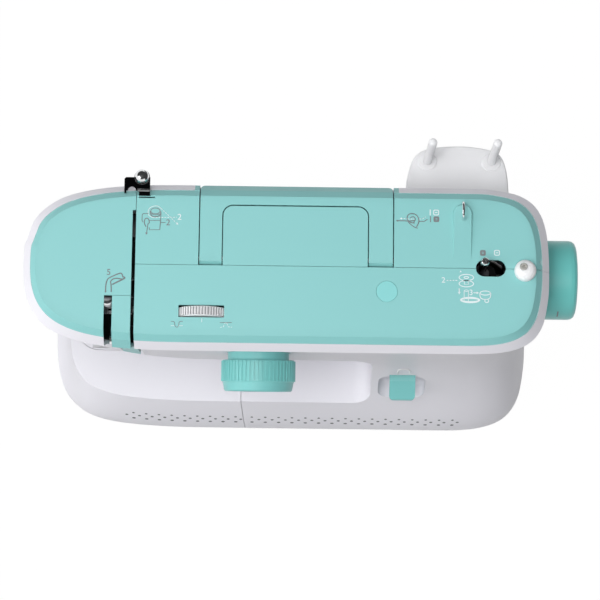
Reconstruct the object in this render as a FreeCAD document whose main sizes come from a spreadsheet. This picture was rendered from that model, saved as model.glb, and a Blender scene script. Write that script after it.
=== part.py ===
import FreeCAD, Part
import math
import os
import re
import Sketcher
from FreeCAD import Placement, Rotation, Vector

os.makedirs("parts", exist_ok=True)
doc = FreeCAD.newDocument("sewing_machine")

# Plan outlines of the housing from the table up: height, left and right ends, front and back,
# then length and fullness of the corner curves at the left end and at the right end.
FIELDS = ("z", "left", "right", "front", "back", "end", "end_full", "turn", "turn_full")
STATIONS = {
    "foot": (0, -203, 183.2, -93.3, 56, 129, 1.65, 70, 1.6),
    "bed": (62, -185, 174.5, -80.8, 50, 118, 2, 66, 1.6),
    "waist": (150, -193, 167, -60.5, 37, 124, 0.95, 62, 1.5),
    "chest": (215, -196, 169, -64.5, 39.4, 118, 1.2, 60, 1.6),
    "brow": (260, -200, 175, -70.2, 45.6, 114, 1.4, 61, 1.7),
    "rim": (271, -201.3, 177.9, -73, 48.4, 113, 1.43, 61, 1.7),
    "lid": (279.5, -195.7, 172.3, -68.3, 42.9, 107, 1.36, 52, 1.5),
    "top": (285, -191.2, 167, -63.4, 37.2, 104, 1.38, 47, 1.45),
}
SIZES = {
    "wall": 2.8, "panel_wall": 2.6, "cover_base": 3.5, "seam_y": -12.9, "seam_gap": 0.3, "lid_round": 8,
    # Space under the arm.
    "throat_right": 55, "throat_low_round": 14, "throat_high_round": 20,
    # Slots of the thread path and the tongue between them.
    "takeup_slot_left": -141.6, "takeup_slot_right": -135.8, "takeup_slot_lean": 5.4,
    "thread_slot_left": -122.5, "thread_slot_right": -119.9, "thread_slot_back": 26.6,
    "head_split": -120.3, "slot_back": -35.7,
    # Extension table and free arm.
    "table_split": -47.3, "split_lean": 0.06, "table_gap": 0.4, "table_wall": 2.4,
    "arm_left": -179, "arm_front": -40.5, "arm_back": 27, "arm_under": 12, "arm_round": 18,
    "arm_wall": 2.6, "arm_roof": 4, "arm_gap": 0.4, "flange": 2.6,
    # Drive line.
    "shaft_y": -8, "shaft_z": 216, "shaft_radius": 4, "running": 0.05,
    "wheel_left": 175, "wheel_right": 202, "wheel_radius": 29.3,
    "crank_radius": 15.5, "crank_disc_radius": 19, "crank_left": -137.4, "crank_right": -130,
    "sprocket_left": 70, "sprocket_wide": 8, "sprocket_radius": 14, "belt_thick": 1.8,
    "pulley_left": 153.2, "pulley_wide": 5.6, "pulley_radius": 22,
    "motor_y": 2, "motor_z": 62, "motor_radius": 22, "motor_left": 112, "motor_right": 148,
    "motor_pulley_radius": 7.5,
    "lower_y": -22.3, "lower_z": 30,
    # Needle, presser foot, feed and hook.
    "needle_x": -152, "needle_y": -8, "bar_radius": 3.2, "needle_tip": 74, "clamp_low": 106,
    "presser_y": 6, "sole_z": 63.2,
    "hook_x": -152, "hook_y": -22.3, "hook_radius": 13.5, "hook_low": 42, "hook_top": 56,
    "plate_thick": 2,
    # Controls.
    "dial_x": -31.8, "dial_y": -53.4, "dial_z": 205, "dial_tilt": 7.4,
    "dial_radius": 27, "dial_rib": 0.6, "dial_ribs": 56,
    "tension_x": -71.9, "tension_y": -46.5, "tension_z": 269.2, "tension_radius": 20,
    "tension_wide": 7, "tension_slot_long": 32.6, "tension_slot_wide": 8.9,
    "tension_ribs": 60, "tension_rib": 0.6, "tension_groove": 0.8,
    "lever_x": 79.4, "lever_y": -52, "lever_z": 104, "lever_wide": 20,
    "lifter_y": 16, "lifter_z": 170, "takeup_x": -137.5, "takeup_y": -34, "takeup_z": 232,
    # Carry handle.
    "handle_left": -74, "handle_right": 64.6, "handle_gap": 0.8, "handle_half": 5.4,
    "handle_pivot_y": -7, "handle_pivot_z": 279.4,
    "grip_left": -58.1, "grip_right": 47.4, "grip_back": 31.6, "grip_round": 8,
    # Spool stand.
    "flap_y": 48, "flap_z": 212, "flap_lean": 13, "flap_thick": 4,
    "spool_pin_radius": 3.2, "spool_pin_long": 35.6, "spool_seat_radius": 3, "spool_pin_lean": 4.5,
    "spool_left": 92.8, "spool_right": 140.9, "spool_reach": 35.7,
    # Bobbin winder.
    "winder_x": 129.8, "winder_y": -10.7,
    "winder_slot_left": 124.1, "winder_slot_right": 145.6, "winder_slot_y": -12.6, "winder_slot_wide": 12.2,
    "winder_pivot_x": 134.3, "winder_pivot_y": -54.3, "tyre_radius": 13.2,
    "stopper_x": 159.3, "stopper_y": -14.5, "stopper_radius": 7.75,
    # Power inlet with its switch.
    "inlet_left": 161, "inlet_right": 175.3, "inlet_front": -28, "inlet_back": 26,
    "inlet_low": 16, "inlet_high": 46, "rocker_x": 171, "rocker_y": -16, "rocker_z": 31,
}
for station, numbers in STATIONS.items():
    for field, number in zip(FIELDS, numbers):
        SIZES[f"{station}_{field}"] = number

sheet = doc.addObject("Spreadsheet::Sheet", "Sizes")
for row, (alias, number) in enumerate(SIZES.items(), start=1):
    sheet.set(f"A{row}", alias)
    sheet.set(f"B{row}", str(number))
    sheet.setAlias(f"B{row}", alias)
doc.recompute()

NAME = re.compile(r"[a-z_]+")
TURNS = {
    "x": Rotation(Vector(0, 1, 0), 90),
    "y": Rotation(Vector(1, 0, 0), -90),
    "z": Rotation(),
    "front": Rotation(Vector(1, 0, 0), 90),
}
nodes = []


def size(alias):
    return float(getattr(sheet, alias))


# An expression in which every size name points at its cell.
def cells(expression):
    def cell(found):
        word = found.group()
        return f"Sizes.{word}" if word in SIZES else word
    return NAME.sub(cell, str(expression))


def number(expression):
    return float(sheet.evalExpression(cells(expression)))


def bind(thing, terms):
    for prop, expression in terms.items():
        thing.setExpression(prop, cells(expression))


def place(thing, at, turn=None):
    if turn is not None:
        thing.Placement = Placement(Vector(), turn)
    bind(thing, {f"Placement.Base.{axis}": term for axis, term in zip("xyz", at)})
    return thing


def cylinder(name, axis, at, radius, length):
    thing = doc.addObject("Part::Cylinder", name)
    bind(thing, {"Radius": radius, "Height": length})
    return place(thing, at, TURNS[axis])


def cone(name, axis, at, low_radius, high_radius, length):
    thing = doc.addObject("Part::Cone", name)
    bind(thing, {"Radius1": low_radius, "Radius2": high_radius, "Height": length})
    return place(thing, at, TURNS[axis])


def box(name, low, high):
    thing = doc.addObject("Part::Box", name)
    for prop, start, end in zip(("Length", "Width", "Height"), low, high):
        bind(thing, {prop: f"({end}) - ({start})"})
    return place(thing, low)


def fused(name, *things):
    thing = doc.addObject("Part::MultiFuse", name)
    thing.Shapes = list(things)
    thing.Refine = True
    return thing


def cut(name, base, *tools):
    thing = doc.addObject("Part::Cut", name)
    thing.Base = base
    thing.Tool = tools[0] if len(tools) == 1 else fused(f"{name}_tools", *tools)
    return thing


def grouped(name, *things):
    thing = doc.addObject("Part::Compound", name)
    thing.Links = list(things)
    return thing


def shaped(name, shape):
    thing = doc.addObject("Part::Feature", name)
    thing.Shape = shape
    return thing


def tube(name, axis, at, outer, inner, length):
    solid = cylinder(f"{name}_outside", axis, at, outer, length)
    hole = cylinder(f"{name}_hole", axis, at, inner, length)
    return cut(name, solid, hole)


# Rounds the edges of a finished solid that run along one direction and pass a test on their middle.
def rounded(name, base, radius, along, test=None):
    doc.recompute()
    picks = []
    for index, edge in enumerate(base.Shape.Edges, start=1):
        if len(edge.Vertexes) != 2:
            continue
        run = edge.Vertexes[1].Point - edge.Vertexes[0].Point
        straight = run.Length > 1e-6 and abs(abs(run.normalize().dot(along)) - 1) < 1e-6
        if straight and (test is None or test(edge.CenterOfMass)):
            picks.append((index, size(radius), size(radius)))
    thing = doc.addObject("Part::Fillet", name)
    thing.Base = base
    thing.Edges = picks
    return thing


def origin_part(body, role):
    return next(part for part in body.Origin.OriginFeatures if part.Role == role)


def sketch_on(body, plane, name, corners):
    sketch = body.newObject("Sketcher::SketchObject", name)
    sketch.AttachmentSupport = (origin_part(body, plane), [""])
    sketch.MapMode = "FlatFace"
    points = [Vector(number(u), number(v), 0) for u, v in corners]
    following = points[1:] + points[:1]
    sketch.addGeometry([Part.LineSegment(a, b) for a, b in zip(points, following)], False)
    count = len(points)
    for index in range(count):
        sketch.addConstraint(Sketcher.Constraint("Coincident", index, 2, (index + 1) % count, 1))
    for index, corner in enumerate(corners):
        for kind, term, value in zip(("DistanceX", "DistanceY"), corner, points[index]):
            place_of = sketch.addConstraint(Sketcher.Constraint(kind, -1, 1, index, 1, value))
            sketch.setExpression(f"Constraints[{place_of}]", cells(term))
    return sketch


# A body turned about its own axis; the profile lists (radius, distance along the axis) corners.
def turned(name, axis, at, profile):
    body = doc.addObject("PartDesign::Body", name)
    sketch = sketch_on(body, "XZ_Plane", f"{name}_profile", profile)
    turn = body.newObject("PartDesign::Revolution", f"{name}_turn")
    turn.Profile = sketch
    turn.ReferenceAxis = (sketch, ["V_Axis"])
    turn.Angle = 360
    body.Tip = turn
    return place(body, at, TURNS[axis])


# A body padded from a closed outline on one of its planes, up along that plane's normal.
def padded(name, plane, corners, at, length, turn=None):
    body = doc.addObject("PartDesign::Body", name)
    sketch = sketch_on(body, plane, f"{name}_outline", corners)
    pad = body.newObject("PartDesign::Pad", f"{name}_pad")
    pad.Profile = sketch
    bind(pad, {"Length": length})
    body.Tip = pad
    return place(body, at, turn)


# Repeats a small pad (or pocket) round a turned body's axis.
def patterned(body, name, kind, corners, start, length, count):
    sketch = sketch_on(body, "XY_Plane", f"{name}_outline", corners)
    bind(sketch, {"AttachmentOffset.Base.z": start})
    feature = body.newObject(kind, f"{name}_one")
    feature.Profile = sketch
    bind(feature, {"Length": length})
    if kind == "PartDesign::Pocket":
        feature.Reversed = True
    doc.recompute()
    pattern = body.newObject("PartDesign::PolarPattern", name)
    pattern.Originals = [feature]
    pattern.Axis = (origin_part(body, "Z_Axis"), [""])
    pattern.Angle = 360
    bind(pattern, {"Occurrences": count})
    body.Tip = pattern
    return body


def keep(thing, label=None):
    if label is not None:
        thing.Label = label
    nodes.append(thing)
    return thing


def solid_box(low, high):
    sides = [b - a for a, b in zip(low, high)]
    return Part.makeBox(*sides, Vector(*low))


FAR = 400


# Spline along the conic from start to end whose tangents meet in the corner; more weight fills it more.
def corner_curve(start, corner, end, weight):
    steps = [index / 8 for index in range(9)]
    points = []
    for step in steps:
        shares = ((1 - step) ** 2, 2 * weight * step * (1 - step), step ** 2)
        points.append((start * shares[0] + corner * shares[1] + end * shares[2]) / sum(shares))
    curve = Part.BSplineCurve()
    curve.interpolate(
        Points=points, Parameters=steps, InitialTangent=corner - start, FinalTangent=end - corner)
    return curve


# Closed plan outline of one station: straight front and back joined by four corner curves.
def plan(name, inset=0.0, lift=0.0):
    values = [size(f"{name}_{field}") for field in FIELDS]
    z, left, right, front, back, end, end_full, turn, turn_full = values
    z += lift
    left, right = left + inset, right - inset
    front, back = front + inset, back - inset
    end, turn = end - inset, turn - inset
    middle = (front + back) / 2
    front_left = Vector(left + end, front, z)
    front_right = Vector(right - turn, front, z)
    back_right = Vector(right - turn, back, z)
    back_left = Vector(left + end, back, z)
    left_tip = Vector(left, middle, z)
    right_tip = Vector(right, middle, z)
    curves = [
        Part.LineSegment(front_left, front_right),
        corner_curve(front_right, Vector(right, front, z), right_tip, turn_full),
        corner_curve(right_tip, Vector(right, back, z), back_right, turn_full),
        Part.LineSegment(back_right, back_left),
        corner_curve(back_left, Vector(left, back, z), left_tip, end_full),
        corner_curve(left_tip, Vector(left, front, z), front_left, end_full),
    ]
    return Part.Wire([curve.toShape() for curve in curves])


def lofted(outlines, ruled=False):
    return Part.makeLoft(outlines, True, ruled)


# Space under the arm, open to the left; grow moves its walls outwards.
def throat(grow=0.0):
    low = size("bed_z") - grow
    high = size("waist_z") + grow
    right = size("throat_right") + grow
    low_round = size("throat_low_round") + grow
    high_round = size("throat_high_round") + grow
    slant = math.sqrt(0.5)
    points = [
        Vector(-FAR, -FAR, low),
        Vector(right - low_round, -FAR, low),
        Vector(right - low_round * (1 - slant), -FAR, low + low_round * (1 - slant)),
        Vector(right, -FAR, low + low_round),
        Vector(right, -FAR, high - high_round),
        Vector(right - high_round * (1 - slant), -FAR, high - high_round * (1 - slant)),
        Vector(right - high_round, -FAR, high),
        Vector(-FAR, -FAR, high),
    ]
    curves = [
        Part.LineSegment(points[0], points[1]),
        Part.Arc(points[1], points[2], points[3]),
        Part.LineSegment(points[3], points[4]),
        Part.Arc(points[4], points[5], points[6]),
        Part.LineSegment(points[6], points[7]),
        Part.LineSegment(points[7], points[0]),
    ]
    face = Part.Face(Part.Wire([curve.toShape() for curve in curves]))
    return face.extrude(Vector(0, 2 * FAR, 0))


# Space right of the take-up slot's left edge and in front of y_back; the edge leans right below the rim.
def right_of_slot(y_back):
    rim, low, lift = size("rim_z"), size("waist_z"), 50
    slope = size("takeup_slot_lean") / (rim - low)
    left = size("takeup_slot_left")
    corners = [
        (left, rim + lift), (FAR, rim + lift), (FAR, low - lift),
        (left + slope * (rim - low + lift), low - lift), (left, rim)]
    points = [Vector(x, -FAR, z) for x, z in corners]
    face = Part.Face(Part.makePolygon(points + points[:1]))
    return face.extrude(Vector(0, FAR + y_back, 0))


# Space left of the joint between table and base, which leans to the right towards the floor.
def left_of_split(shift, low, high):
    def edge(z):
        return size("table_split") + (size("bed_z") - z) * size("split_lean") + shift

    corners = [(-FAR, low), (edge(low), low), (edge(high), high), (-FAR, high)]
    points = [Vector(x, -FAR, z) for x, z in corners]
    face = Part.Face(Part.makePolygon(points + points[:1]))
    return face.extrude(Vector(0, 2 * FAR, 0))


WAIST_LEVELS = ("foot", "bed", "waist", "chest", "brow", "rim")
wall = size("wall")
outside = lofted([plan(name) for name in WAIST_LEVELS])
inside = lofted([plan(name, wall) for name in WAIST_LEVELS])
rim_outside = lofted([plan("rim"), plan("lid")], ruled=True)
rim_inside = lofted([plan("rim", wall), plan("lid", wall)], ruled=True)
cavity = inside.cut(throat(wall))
skin = outside.cut(throat()).cut(cavity).fuse(rim_outside.cut(rim_inside)).removeSplitter()

panel_wall = size("panel_wall")
lid_blank = lofted([plan("lid", 0.3), plan("top")], ruled=True)
lid_edges = [edge for edge in lid_blank.Edges if edge.BoundBox.ZMin > size("top_z") - 0.01]
lid_outside = lid_blank.makeFillet(size("lid_round"), lid_edges)
lid_inside = lofted([plan("lid", panel_wall + 0.3), plan("top", panel_wall, -panel_wall)], ruled=True)
lid = lid_outside.cut(lid_inside)

half_gap = size("seam_gap") / 2
seam = size("seam_y")
bed = size("bed_z")
split = size("head_split")
slot_back = size("slot_back")
arm_start = size("thread_slot_right")
front_side = solid_box((-FAR, -FAR, -10), (FAR, seam - half_gap, FAR))
rear_side = solid_box((-FAR, seam + half_gap, -10), (FAR, FAR, FAR))
left_of_base = left_of_split(size("flange"), -10, 100)
left_of_arm = solid_box((-FAR, -FAR, 100), (arm_start, FAR, FAR))
below_base = solid_box((-FAR, -FAR, -10), (FAR, FAR, size("cover_base")))
socket_gap = 0.2
socket_hole = solid_box(
    (150, size("inlet_front") - socket_gap, size("inlet_low") - socket_gap),
    (200, size("inlet_back") + socket_gap, size("inlet_high") + socket_gap))
shaft_hole = Part.makeCylinder(12, 60, Vector(150, size("shaft_y"), size("shaft_z")), Vector(1, 0, 0))
covers = skin.cut(left_of_base).cut(left_of_arm).cut([below_base, shaft_hole, socket_hole])


# Block with its edges along one direction rounded, for cutters and cups.
def block(low, high, radius, along=Vector(0, 1, 0)):
    shape = solid_box(low, high)
    picks = [edge for edge in shape.Edges if abs(abs(edge.tangentAt(0).dot(along)) - 1) < 1e-6]
    return shape.makeFillet(radius, picks)


# Front cover: round hole for the dial's collar and a scooped cup for the reverse lever.
cup_low = (60.7, -100, 71)
cup_high = (97.6, -62, 106)
dial_turn = Rotation(Vector(1, 0, 0), 90 + size("dial_tilt"))
dial_way = dial_turn.multVec(Vector(0, 0, 1))
dial_spot = Vector(size("dial_x"), size("dial_y"), size("dial_z"))
dial_hole = Part.makeCylinder(23.4, 60, dial_spot, dial_way)
cup_wall = 2.5
cup_shell = block(
    (cup_low[0] - cup_wall, cup_low[1], cup_low[2] - cup_wall),
    tuple(high + cup_wall for high in cup_high), 11)
cup_outside = cup_shell.common(outside)
cup_space = block(cup_low, cup_high, 9)
floor_edges = [edge for edge in cup_space.Edges if abs(edge.CenterOfMass.y - cup_high[1]) < 1e-6]
cup_space = cup_space.makeFillet(6, floor_edges)
lever_half = size("lever_wide") / 2
lever_left = size("lever_x") - lever_half
lever_right = size("lever_x") + lever_half
lever_slot = solid_box((lever_left - 1, -66, 96), (lever_right + 1, -55, 109.2))
pin_axis = Vector(0, size("lever_y"), size("lever_z"))
lever_lugs = [solid_box((x, -60, 98), (x + 3, -47, 110)) for x in (64.8, 91)]
front = covers.common(front_side).cut(dial_hole).fuse([cup_outside] + lever_lugs)
lever_bore = Part.makeCylinder(2, 60, pin_axis + Vector(55, 0, 0), Vector(1, 0, 0))
keep(shaped("front_cover", front.cut([cup_space, lever_slot, lever_bore]).removeSplitter()))

# Rear cover: gap in the rim for the handle, pocket for the folded spool pins, hinge lugs, socket hole.
handle_left = size("handle_left") - size("handle_gap")
handle_right = size("handle_right") + size("handle_gap")
cheek = 3.6
rim_gap = solid_box((handle_left - cheek, 25, 270.2), (handle_right + cheek, 80, FAR))
bar_gap = solid_box((handle_left, 25, 267.4), (handle_right, 80, FAR))
pocket_low = (81.5, 6.5, 227.5)
pocket_high = (149.3, 80, 266.5)
pocket_wall = 1.6
pocket_shell = block(
    tuple(low - pocket_wall for low in pocket_low), tuple(high + pocket_wall for high in pocket_high), 5)
pocket_space = block(pocket_low, pocket_high, 4)
flap_y = size("flap_y")
flap_z = size("flap_z")
lugs = [solid_box((x, 37.5, flap_z - 3.4), (x + 5, flap_y + 3.4, flap_z + 3.4)) for x in (78.5, 144.9)]
flap_bore = Part.makeCylinder(1.5, 100, Vector(70, flap_y, flap_z), Vector(1, 0, 0))
rear = covers.common(rear_side).fuse([pocket_shell.common(outside)] + lugs)
keep(shaped("rear_cover", rear.cut([rim_gap, bar_gap, pocket_space, flap_bore]).removeSplitter()))

# Face cover: left head with a window below for the two bars and a slot behind for the lifter.
head = skin.common(solid_box((-FAR, -FAR, 100), (split, FAR, FAR)))
head = head.cut(right_of_slot(slot_back))
thread_gap = solid_box((size("thread_slot_left"), -FAR, 200), (0, size("thread_slot_back"), FAR))
bar_window = block((-173, -27, 140), (-124, 26, 160), 8, Vector(0, 0, 1))
lifter_slot = block((-152, 10, 140), (-136, 80, 172), 3)
cutter_seat = solid_box((-210, -17, 186), (-191.5, 5, 204))
lamp_hole = Part.makeCylinder(5.05, 20, Vector(-181, -13, 140))
head = head.cut([thread_gap, bar_window, lifter_slot, cutter_seat, lamp_hole])
keep(shaped("face_cover", head.removeSplitter()))

# Tongue between the thread slots: top, rim and front in one strip.
strip = solid_box(
    (size("takeup_slot_right"), -FAR, 100), (size("thread_slot_left"), slot_back - 0.25, FAR))
keep(shaped("threading_tongue", skin.fuse(lid).common(strip).removeSplitter()))

# Top panels.
panels = lid.cut(left_of_arm)
face_panel = lid.common(solid_box((-FAR, -FAR, 200), (split, FAR, FAR)))
face_panel = face_panel.cut([right_of_slot(slot_back), thread_gap])
keep(shaped("face_top_panel", face_panel.removeSplitter()))

top = size("top_z")
slot_x = size("tension_x")
slot_y = size("tension_y")
slot_half = size("tension_slot_long") / 2
slot_wide = size("tension_slot_wide") / 2
tension_slot = block(
    (slot_x - slot_half, slot_y - slot_wide, 270), (slot_x + slot_half, slot_y + slot_wide, 300), 0.7,
    Vector(0, 0, 1))
winder_wide = size("winder_slot_wide") / 2
winder_slot_y = size("winder_slot_y")
winder_slot = block(
    (size("winder_slot_left"), winder_slot_y - winder_wide, 270),
    (size("winder_slot_right"), winder_slot_y + winder_wide, 300), winder_wide - 0.05, Vector(0, 0, 1))
stopper_spot = Vector(size("stopper_x"), size("stopper_y"), 270)
stopper_hole = Part.makeCylinder(3, 30, stopper_spot)
stopper_hole = stopper_hole.fuse(Part.makeCylinder(1.6, 30, stopper_spot + Vector(-1.6, 1.9, 0)))
disc_recess = Part.makeCylinder(7.75, 5, Vector(60.5, -30.5, top - 0.7))
tension_lugs = [solid_box((slot_x - 4, y, 263), (slot_x + 4, y + 3, top - 2)) for y in (-54.4, -41.6)]
tension_bore = Part.makeCylinder(3.05, 40, Vector(slot_x, -66, size("tension_z")), Vector(0, 1, 0))
post_low = 246
winder_post = Part.makeCylinder(
    3, top - 2 - post_low, Vector(size("winder_pivot_x"), size("winder_pivot_y"), post_low))
front_panel = panels.common(front_side).fuse(tension_lugs + [winder_post])
front_cuts = [tension_slot, winder_slot, stopper_hole, disc_recess, tension_bore]
keep(shaped("front_top_panel", front_panel.cut(front_cuts).removeSplitter()))

# Rear panel: two troughs under the handle's legs carry the tongue between them.
grip_left = size("grip_left") + size("handle_gap")
grip_right = size("grip_right") - size("handle_gap")
grip_back = size("grip_back") - 1
trough_floor = 272.6
trough_wall = 1.6
legs = ((handle_left, grip_left), (grip_right, handle_right))
troughs = [
    solid_box(
        (low - trough_wall, seam + half_gap, trough_floor - trough_wall),
        (high + trough_wall, grip_back, top - 2))
    for low, high in legs]
leg_spaces = [solid_box((low, seam - 5, trough_floor), (high, FAR, FAR)) for low, high in legs]
bar_space = solid_box((handle_left, grip_back, 260), (handle_right, FAR, FAR))
pivot = Vector(-FAR, size("handle_pivot_y"), size("handle_pivot_z"))
pivot_bore = Part.makeCylinder(2.02, 2 * FAR, pivot, Vector(1, 0, 0))
ridge_points = [(-8, top - 1), (-8, top), (26, top + 3.2), (40, top + 3.2), (40, top - 1)]
ridge_face = Part.Face(Part.makePolygon([Vector(107, y, z) for y, z in ridge_points + ridge_points[:1]]))
ridge_plan = block((107.8, -20, top - 2), (121.2, 33.2, top + 6), 6.6, Vector(0, 0, 1))
ridge = ridge_face.extrude(Vector(15, 0, 0)).common(ridge_plan)
ridge_top = [edge for edge in ridge.Edges if edge.BoundBox.ZMin > top + 0.5]
ridge = ridge.makeFillet(1, ridge_top)
rear_panel = panels.common(rear_side).fuse(troughs + [ridge])
rear_panel = rear_panel.cut(leg_spaces + [bar_space, pivot_bore, winder_slot])
tongue_corner = solid_box((grip_left - 2, grip_back - 8, 260), (grip_right + 2, grip_back + 1, FAR))
corner_keep = block((grip_left, 0, 260), (grip_right, grip_back, FAR), 7, Vector(0, 0, 1))
cheeks = rim_outside.cut(rim_inside).common(rim_gap).cut(bar_gap).common(rear_side)
cheeks = cheeks.cut(solid_box((-FAR, -FAR, 0), (FAR, FAR, 271.2)))
bracket_notch = solid_box((-120, 35.6, 283.6), (-106.8, 80, FAR))
bracket_slit = solid_box((-118.2, 35.6, 270), (-106.8, 36.8, FAR))
rear_panel = rear_panel.fuse(cheeks).cut([bracket_notch, bracket_slit, stopper_hole])
keep(shaped("rear_top_panel", rear_panel.cut(tongue_corner.cut(corner_keep)).removeSplitter()))

# Carry handle: side profile across the whole width, rounded about the pivot, grip space cut out.
handle_bar = padded(
    "handle_bar", "YZ_Plane",
    [("handle_pivot_y", "handle_pivot_z - handle_half"), ("grip_back", "handle_pivot_z - handle_half"),
     ("grip_back + 3", 268.6), (46.4, 268.2), (48.4, 270.6), (43.2, 279.5), (39.6, 282.5), (38.1, 283.5),
     (36.2, 284.45), (33.9, 284.8), ("handle_pivot_y", "handle_pivot_z + handle_half")],
    ("handle_left", 0, 0), "handle_right - handle_left")
handle_nose = cylinder(
    "handle_nose", "x", ("handle_left", "handle_pivot_y", "handle_pivot_z"), "handle_half",
    "handle_right - handle_left")
handle_solid = fused("handle_solid", handle_bar, handle_nose)
grip_space = box("grip_space", ("grip_left", -40, 250), ("grip_right", "grip_back", 300))
grip_cut = rounded("grip_cut", grip_space, "grip_round", Vector(0, 0, 1), lambda point: point.y > 0)
handle_bore = cylinder(
    "handle_bore", "x", (-100, "handle_pivot_y", "handle_pivot_z"), "2 + running + 0.02", 200)
handle_plan = block(
    (size("handle_left"), -40, 240), (size("handle_right"), size("rim_back"), 310), 3, Vector(0, 0, 1))
handle_corners = shaped("handle_corners", solid_box((-90, 40, 250), (90, 60, 300)).cut(handle_plan))
keep(cut("carry_handle", handle_solid, grip_cut, handle_bore, handle_corners))

# Pins that the moving pieces turn on: handle, spool stand, reverse lever, take-up lever, lifter.
pin_long = "grip_left - handle_left + 4.8"
pins = [
    cylinder("handle_pin_left", "x", ("handle_left - 2.4", "handle_pivot_y", "handle_pivot_z"), 2, pin_long),
    cylinder("handle_pin_right", "x", ("grip_right - 2.4", "handle_pivot_y", "handle_pivot_z"), 2,
             "handle_right - grip_right + 4.8"),
    cylinder("spool_pin_hinge", "x", (78.5, "flap_y", "flap_z"), 1.5, 71.4),
    cylinder("lever_pin", "x", (64.8, "lever_y", "lever_z"), 2, 29.2),
    cylinder("takeup_pin", "x", (-140.5, "takeup_y", "takeup_z"), 2, 18),
    cylinder("lifter_pin", "x", (-147.5, "lifter_y", "lifter_z"), 2.5, 15.5),
]
keep(grouped("hinge_pins", *pins))

# Spool stand: flap with a hinge barrel, leaning down to the rear, and two round-nosed pins.
flap_turn = Rotation(Vector(1, 0, 0), -size("flap_lean"))
flap_thick = size("flap_thick")
flap_spots = [
    (76.5, 7), (77.3, 20.4), (79.5, 30.5), (82.3, 38), (85.4, 42.4), (90.2, 45.6), (101, 48.4), (115.4, 49.4),
    (129, 48.7), (140.2, 46.4), (146.6, 43.3), (150, 38), (152.1, 30.5), (153.3, 20.4), (153.8, 7)]
flap_curve = Part.BSplineCurve()
flap_curve.interpolate([Vector(x, reach, -flap_thick / 2) for x, reach in flap_spots])
flap_base = Part.LineSegment(flap_curve.EndPoint, flap_curve.StartPoint)
flap_face = Part.Face(Part.Wire([flap_curve.toShape(), flap_base.toShape()]))
flap_blank = flap_face.extrude(Vector(0, 0, flap_thick))
flap_rim = [edge for edge in flap_blank.Edges
            if edge.BoundBox.ZMin > flap_thick / 2 - 0.01 and edge.BoundBox.YLength > 1]
flap = shaped("flap_plate", flap_blank.makeFillet(1.4, flap_rim))
barrel = cylinder("flap_barrel", "x", (84, 0, 0), 3.2, 60.4)
flap_web = box("flap_web", (84, 0, "-flap_thick / 2"), (144.4, 9, "flap_thick / 2"))
bosses = [
    cone(f"boss_{side}", "z", (f"spool_{side}", "spool_reach", "flap_thick / 2"), 7.5, 6.8, 0.9)
    for side in ("left", "right")]
flap_body = fused("flap_body", flap, barrel, flap_web, *bosses)
flap_hole = cylinder("flap_hole", "x", (70, 0, 0), "1.5 + running", 100)
pin_turn = Rotation(Vector(0, 1, 0), size("spool_pin_lean"))


# Things that stand on the flap at one of the two pins, leaning as the pins do.
def at_pin(thing, side):
    return place(thing, (f"spool_{side}", "spool_reach", 0), pin_turn)


seat_profile = [(0, -5), ("spool_seat_radius", -5), ("spool_seat_radius", 7), (0, 7)]
flap_holes = [
    at_pin(turned(f"flap_seat_{side}", "z", (0, 0, 0), seat_profile), side) for side in ("left", "right")]
keep(place(cut("spool_stand", flap_body, flap_hole, *flap_holes), (0, "flap_y", "flap_z"), flap_turn))


# One spool pin standing on the flap, with a stepped seat and a round nose.
def spool_pin(side):
    top_z = "flap_thick / 2 + spool_pin_long"
    profile = [
        (0, -1.7), ("spool_seat_radius", -1.7), ("spool_seat_radius", 3.5), ("spool_pin_radius", 3.5),
        ("spool_pin_radius", f"{top_z} - 2.6"), ("spool_pin_radius - 0.5", f"{top_z} - 1.3"),
        ("spool_pin_radius - 1.6", f"{top_z} - 0.4"), (0, top_z)]
    return at_pin(turned(f"spool_post_{side}", "z", (0, 0, 0), profile), side)


spool_group = grouped("spool_pins", spool_pin("left"), spool_pin("right"))
keep(place(spool_group, (0, "flap_y", "flap_z"), flap_turn))

# Extension table: the housing's own outline left of the split, with a bay for the free arm.
table_wall = size("table_wall")
table_gap = size("table_gap")
arm_gap = size("arm_gap")
cover_base = size("cover_base")
flange = size("flange")


def arm_block(grow, low, high):
    shape = solid_box(
        (size("arm_left") - grow, size("arm_front") - grow, low), (20, size("arm_back") + grow, high))
    left = [edge for edge in shape.Edges
            if abs(edge.tangentAt(0).z) > 0.9 and edge.CenterOfMass.x < size("arm_left") + 10]
    return shape.makeFillet(size("arm_round") + grow, left)


table_zone = left_of_split(-table_gap, cover_base, bed)
table_core = left_of_split(-table_gap - table_wall, -10, bed - table_wall)
table_space = lofted([plan(name, table_wall) for name in WAIST_LEVELS]).common(table_core)
table_space = table_space.cut(arm_block(arm_gap + table_wall, -10, FAR))
table = outside.common(table_zone).cut(arm_block(arm_gap, -10, FAR)).cut(table_space)
keep(shaped("extension_table", table.removeSplitter()))

# Free arm: closed shell from the base's end wall to the round left end, seats on top for the plates.
arm_wall = size("arm_wall")
under = size("arm_under")
arm_zone = left_of_split(flange, 0, 100)
arm_shell = arm_block(0, under, bed).common(arm_zone)
arm_space = arm_block(-arm_wall, under + arm_wall, bed - size("arm_roof"))
end_zone = left_of_split(flange, cover_base, bed).cut(left_of_split(0, cover_base, bed))
plate_low = bed - size("plate_thick")
plate_seat = solid_box((-175, -16.5, plate_low), (-122, 18.5, FAR))
cover_seat = solid_box((-166.3, -39.2, plate_low), (-131, -16.5, FAR))
hook_window = solid_box((-164, -36.8, bed - 8), (-133, -18.5, FAR))
feed_window = solid_box((-163, -13.4, bed - 8), (-141, 17, FAR))
free_arm = arm_shell.fuse(outside.common(end_zone)).cut(arm_space)
keep(shaped("free_arm", free_arm.cut([plate_seat, cover_seat, hook_window, feed_window]).removeSplitter()))

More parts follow.
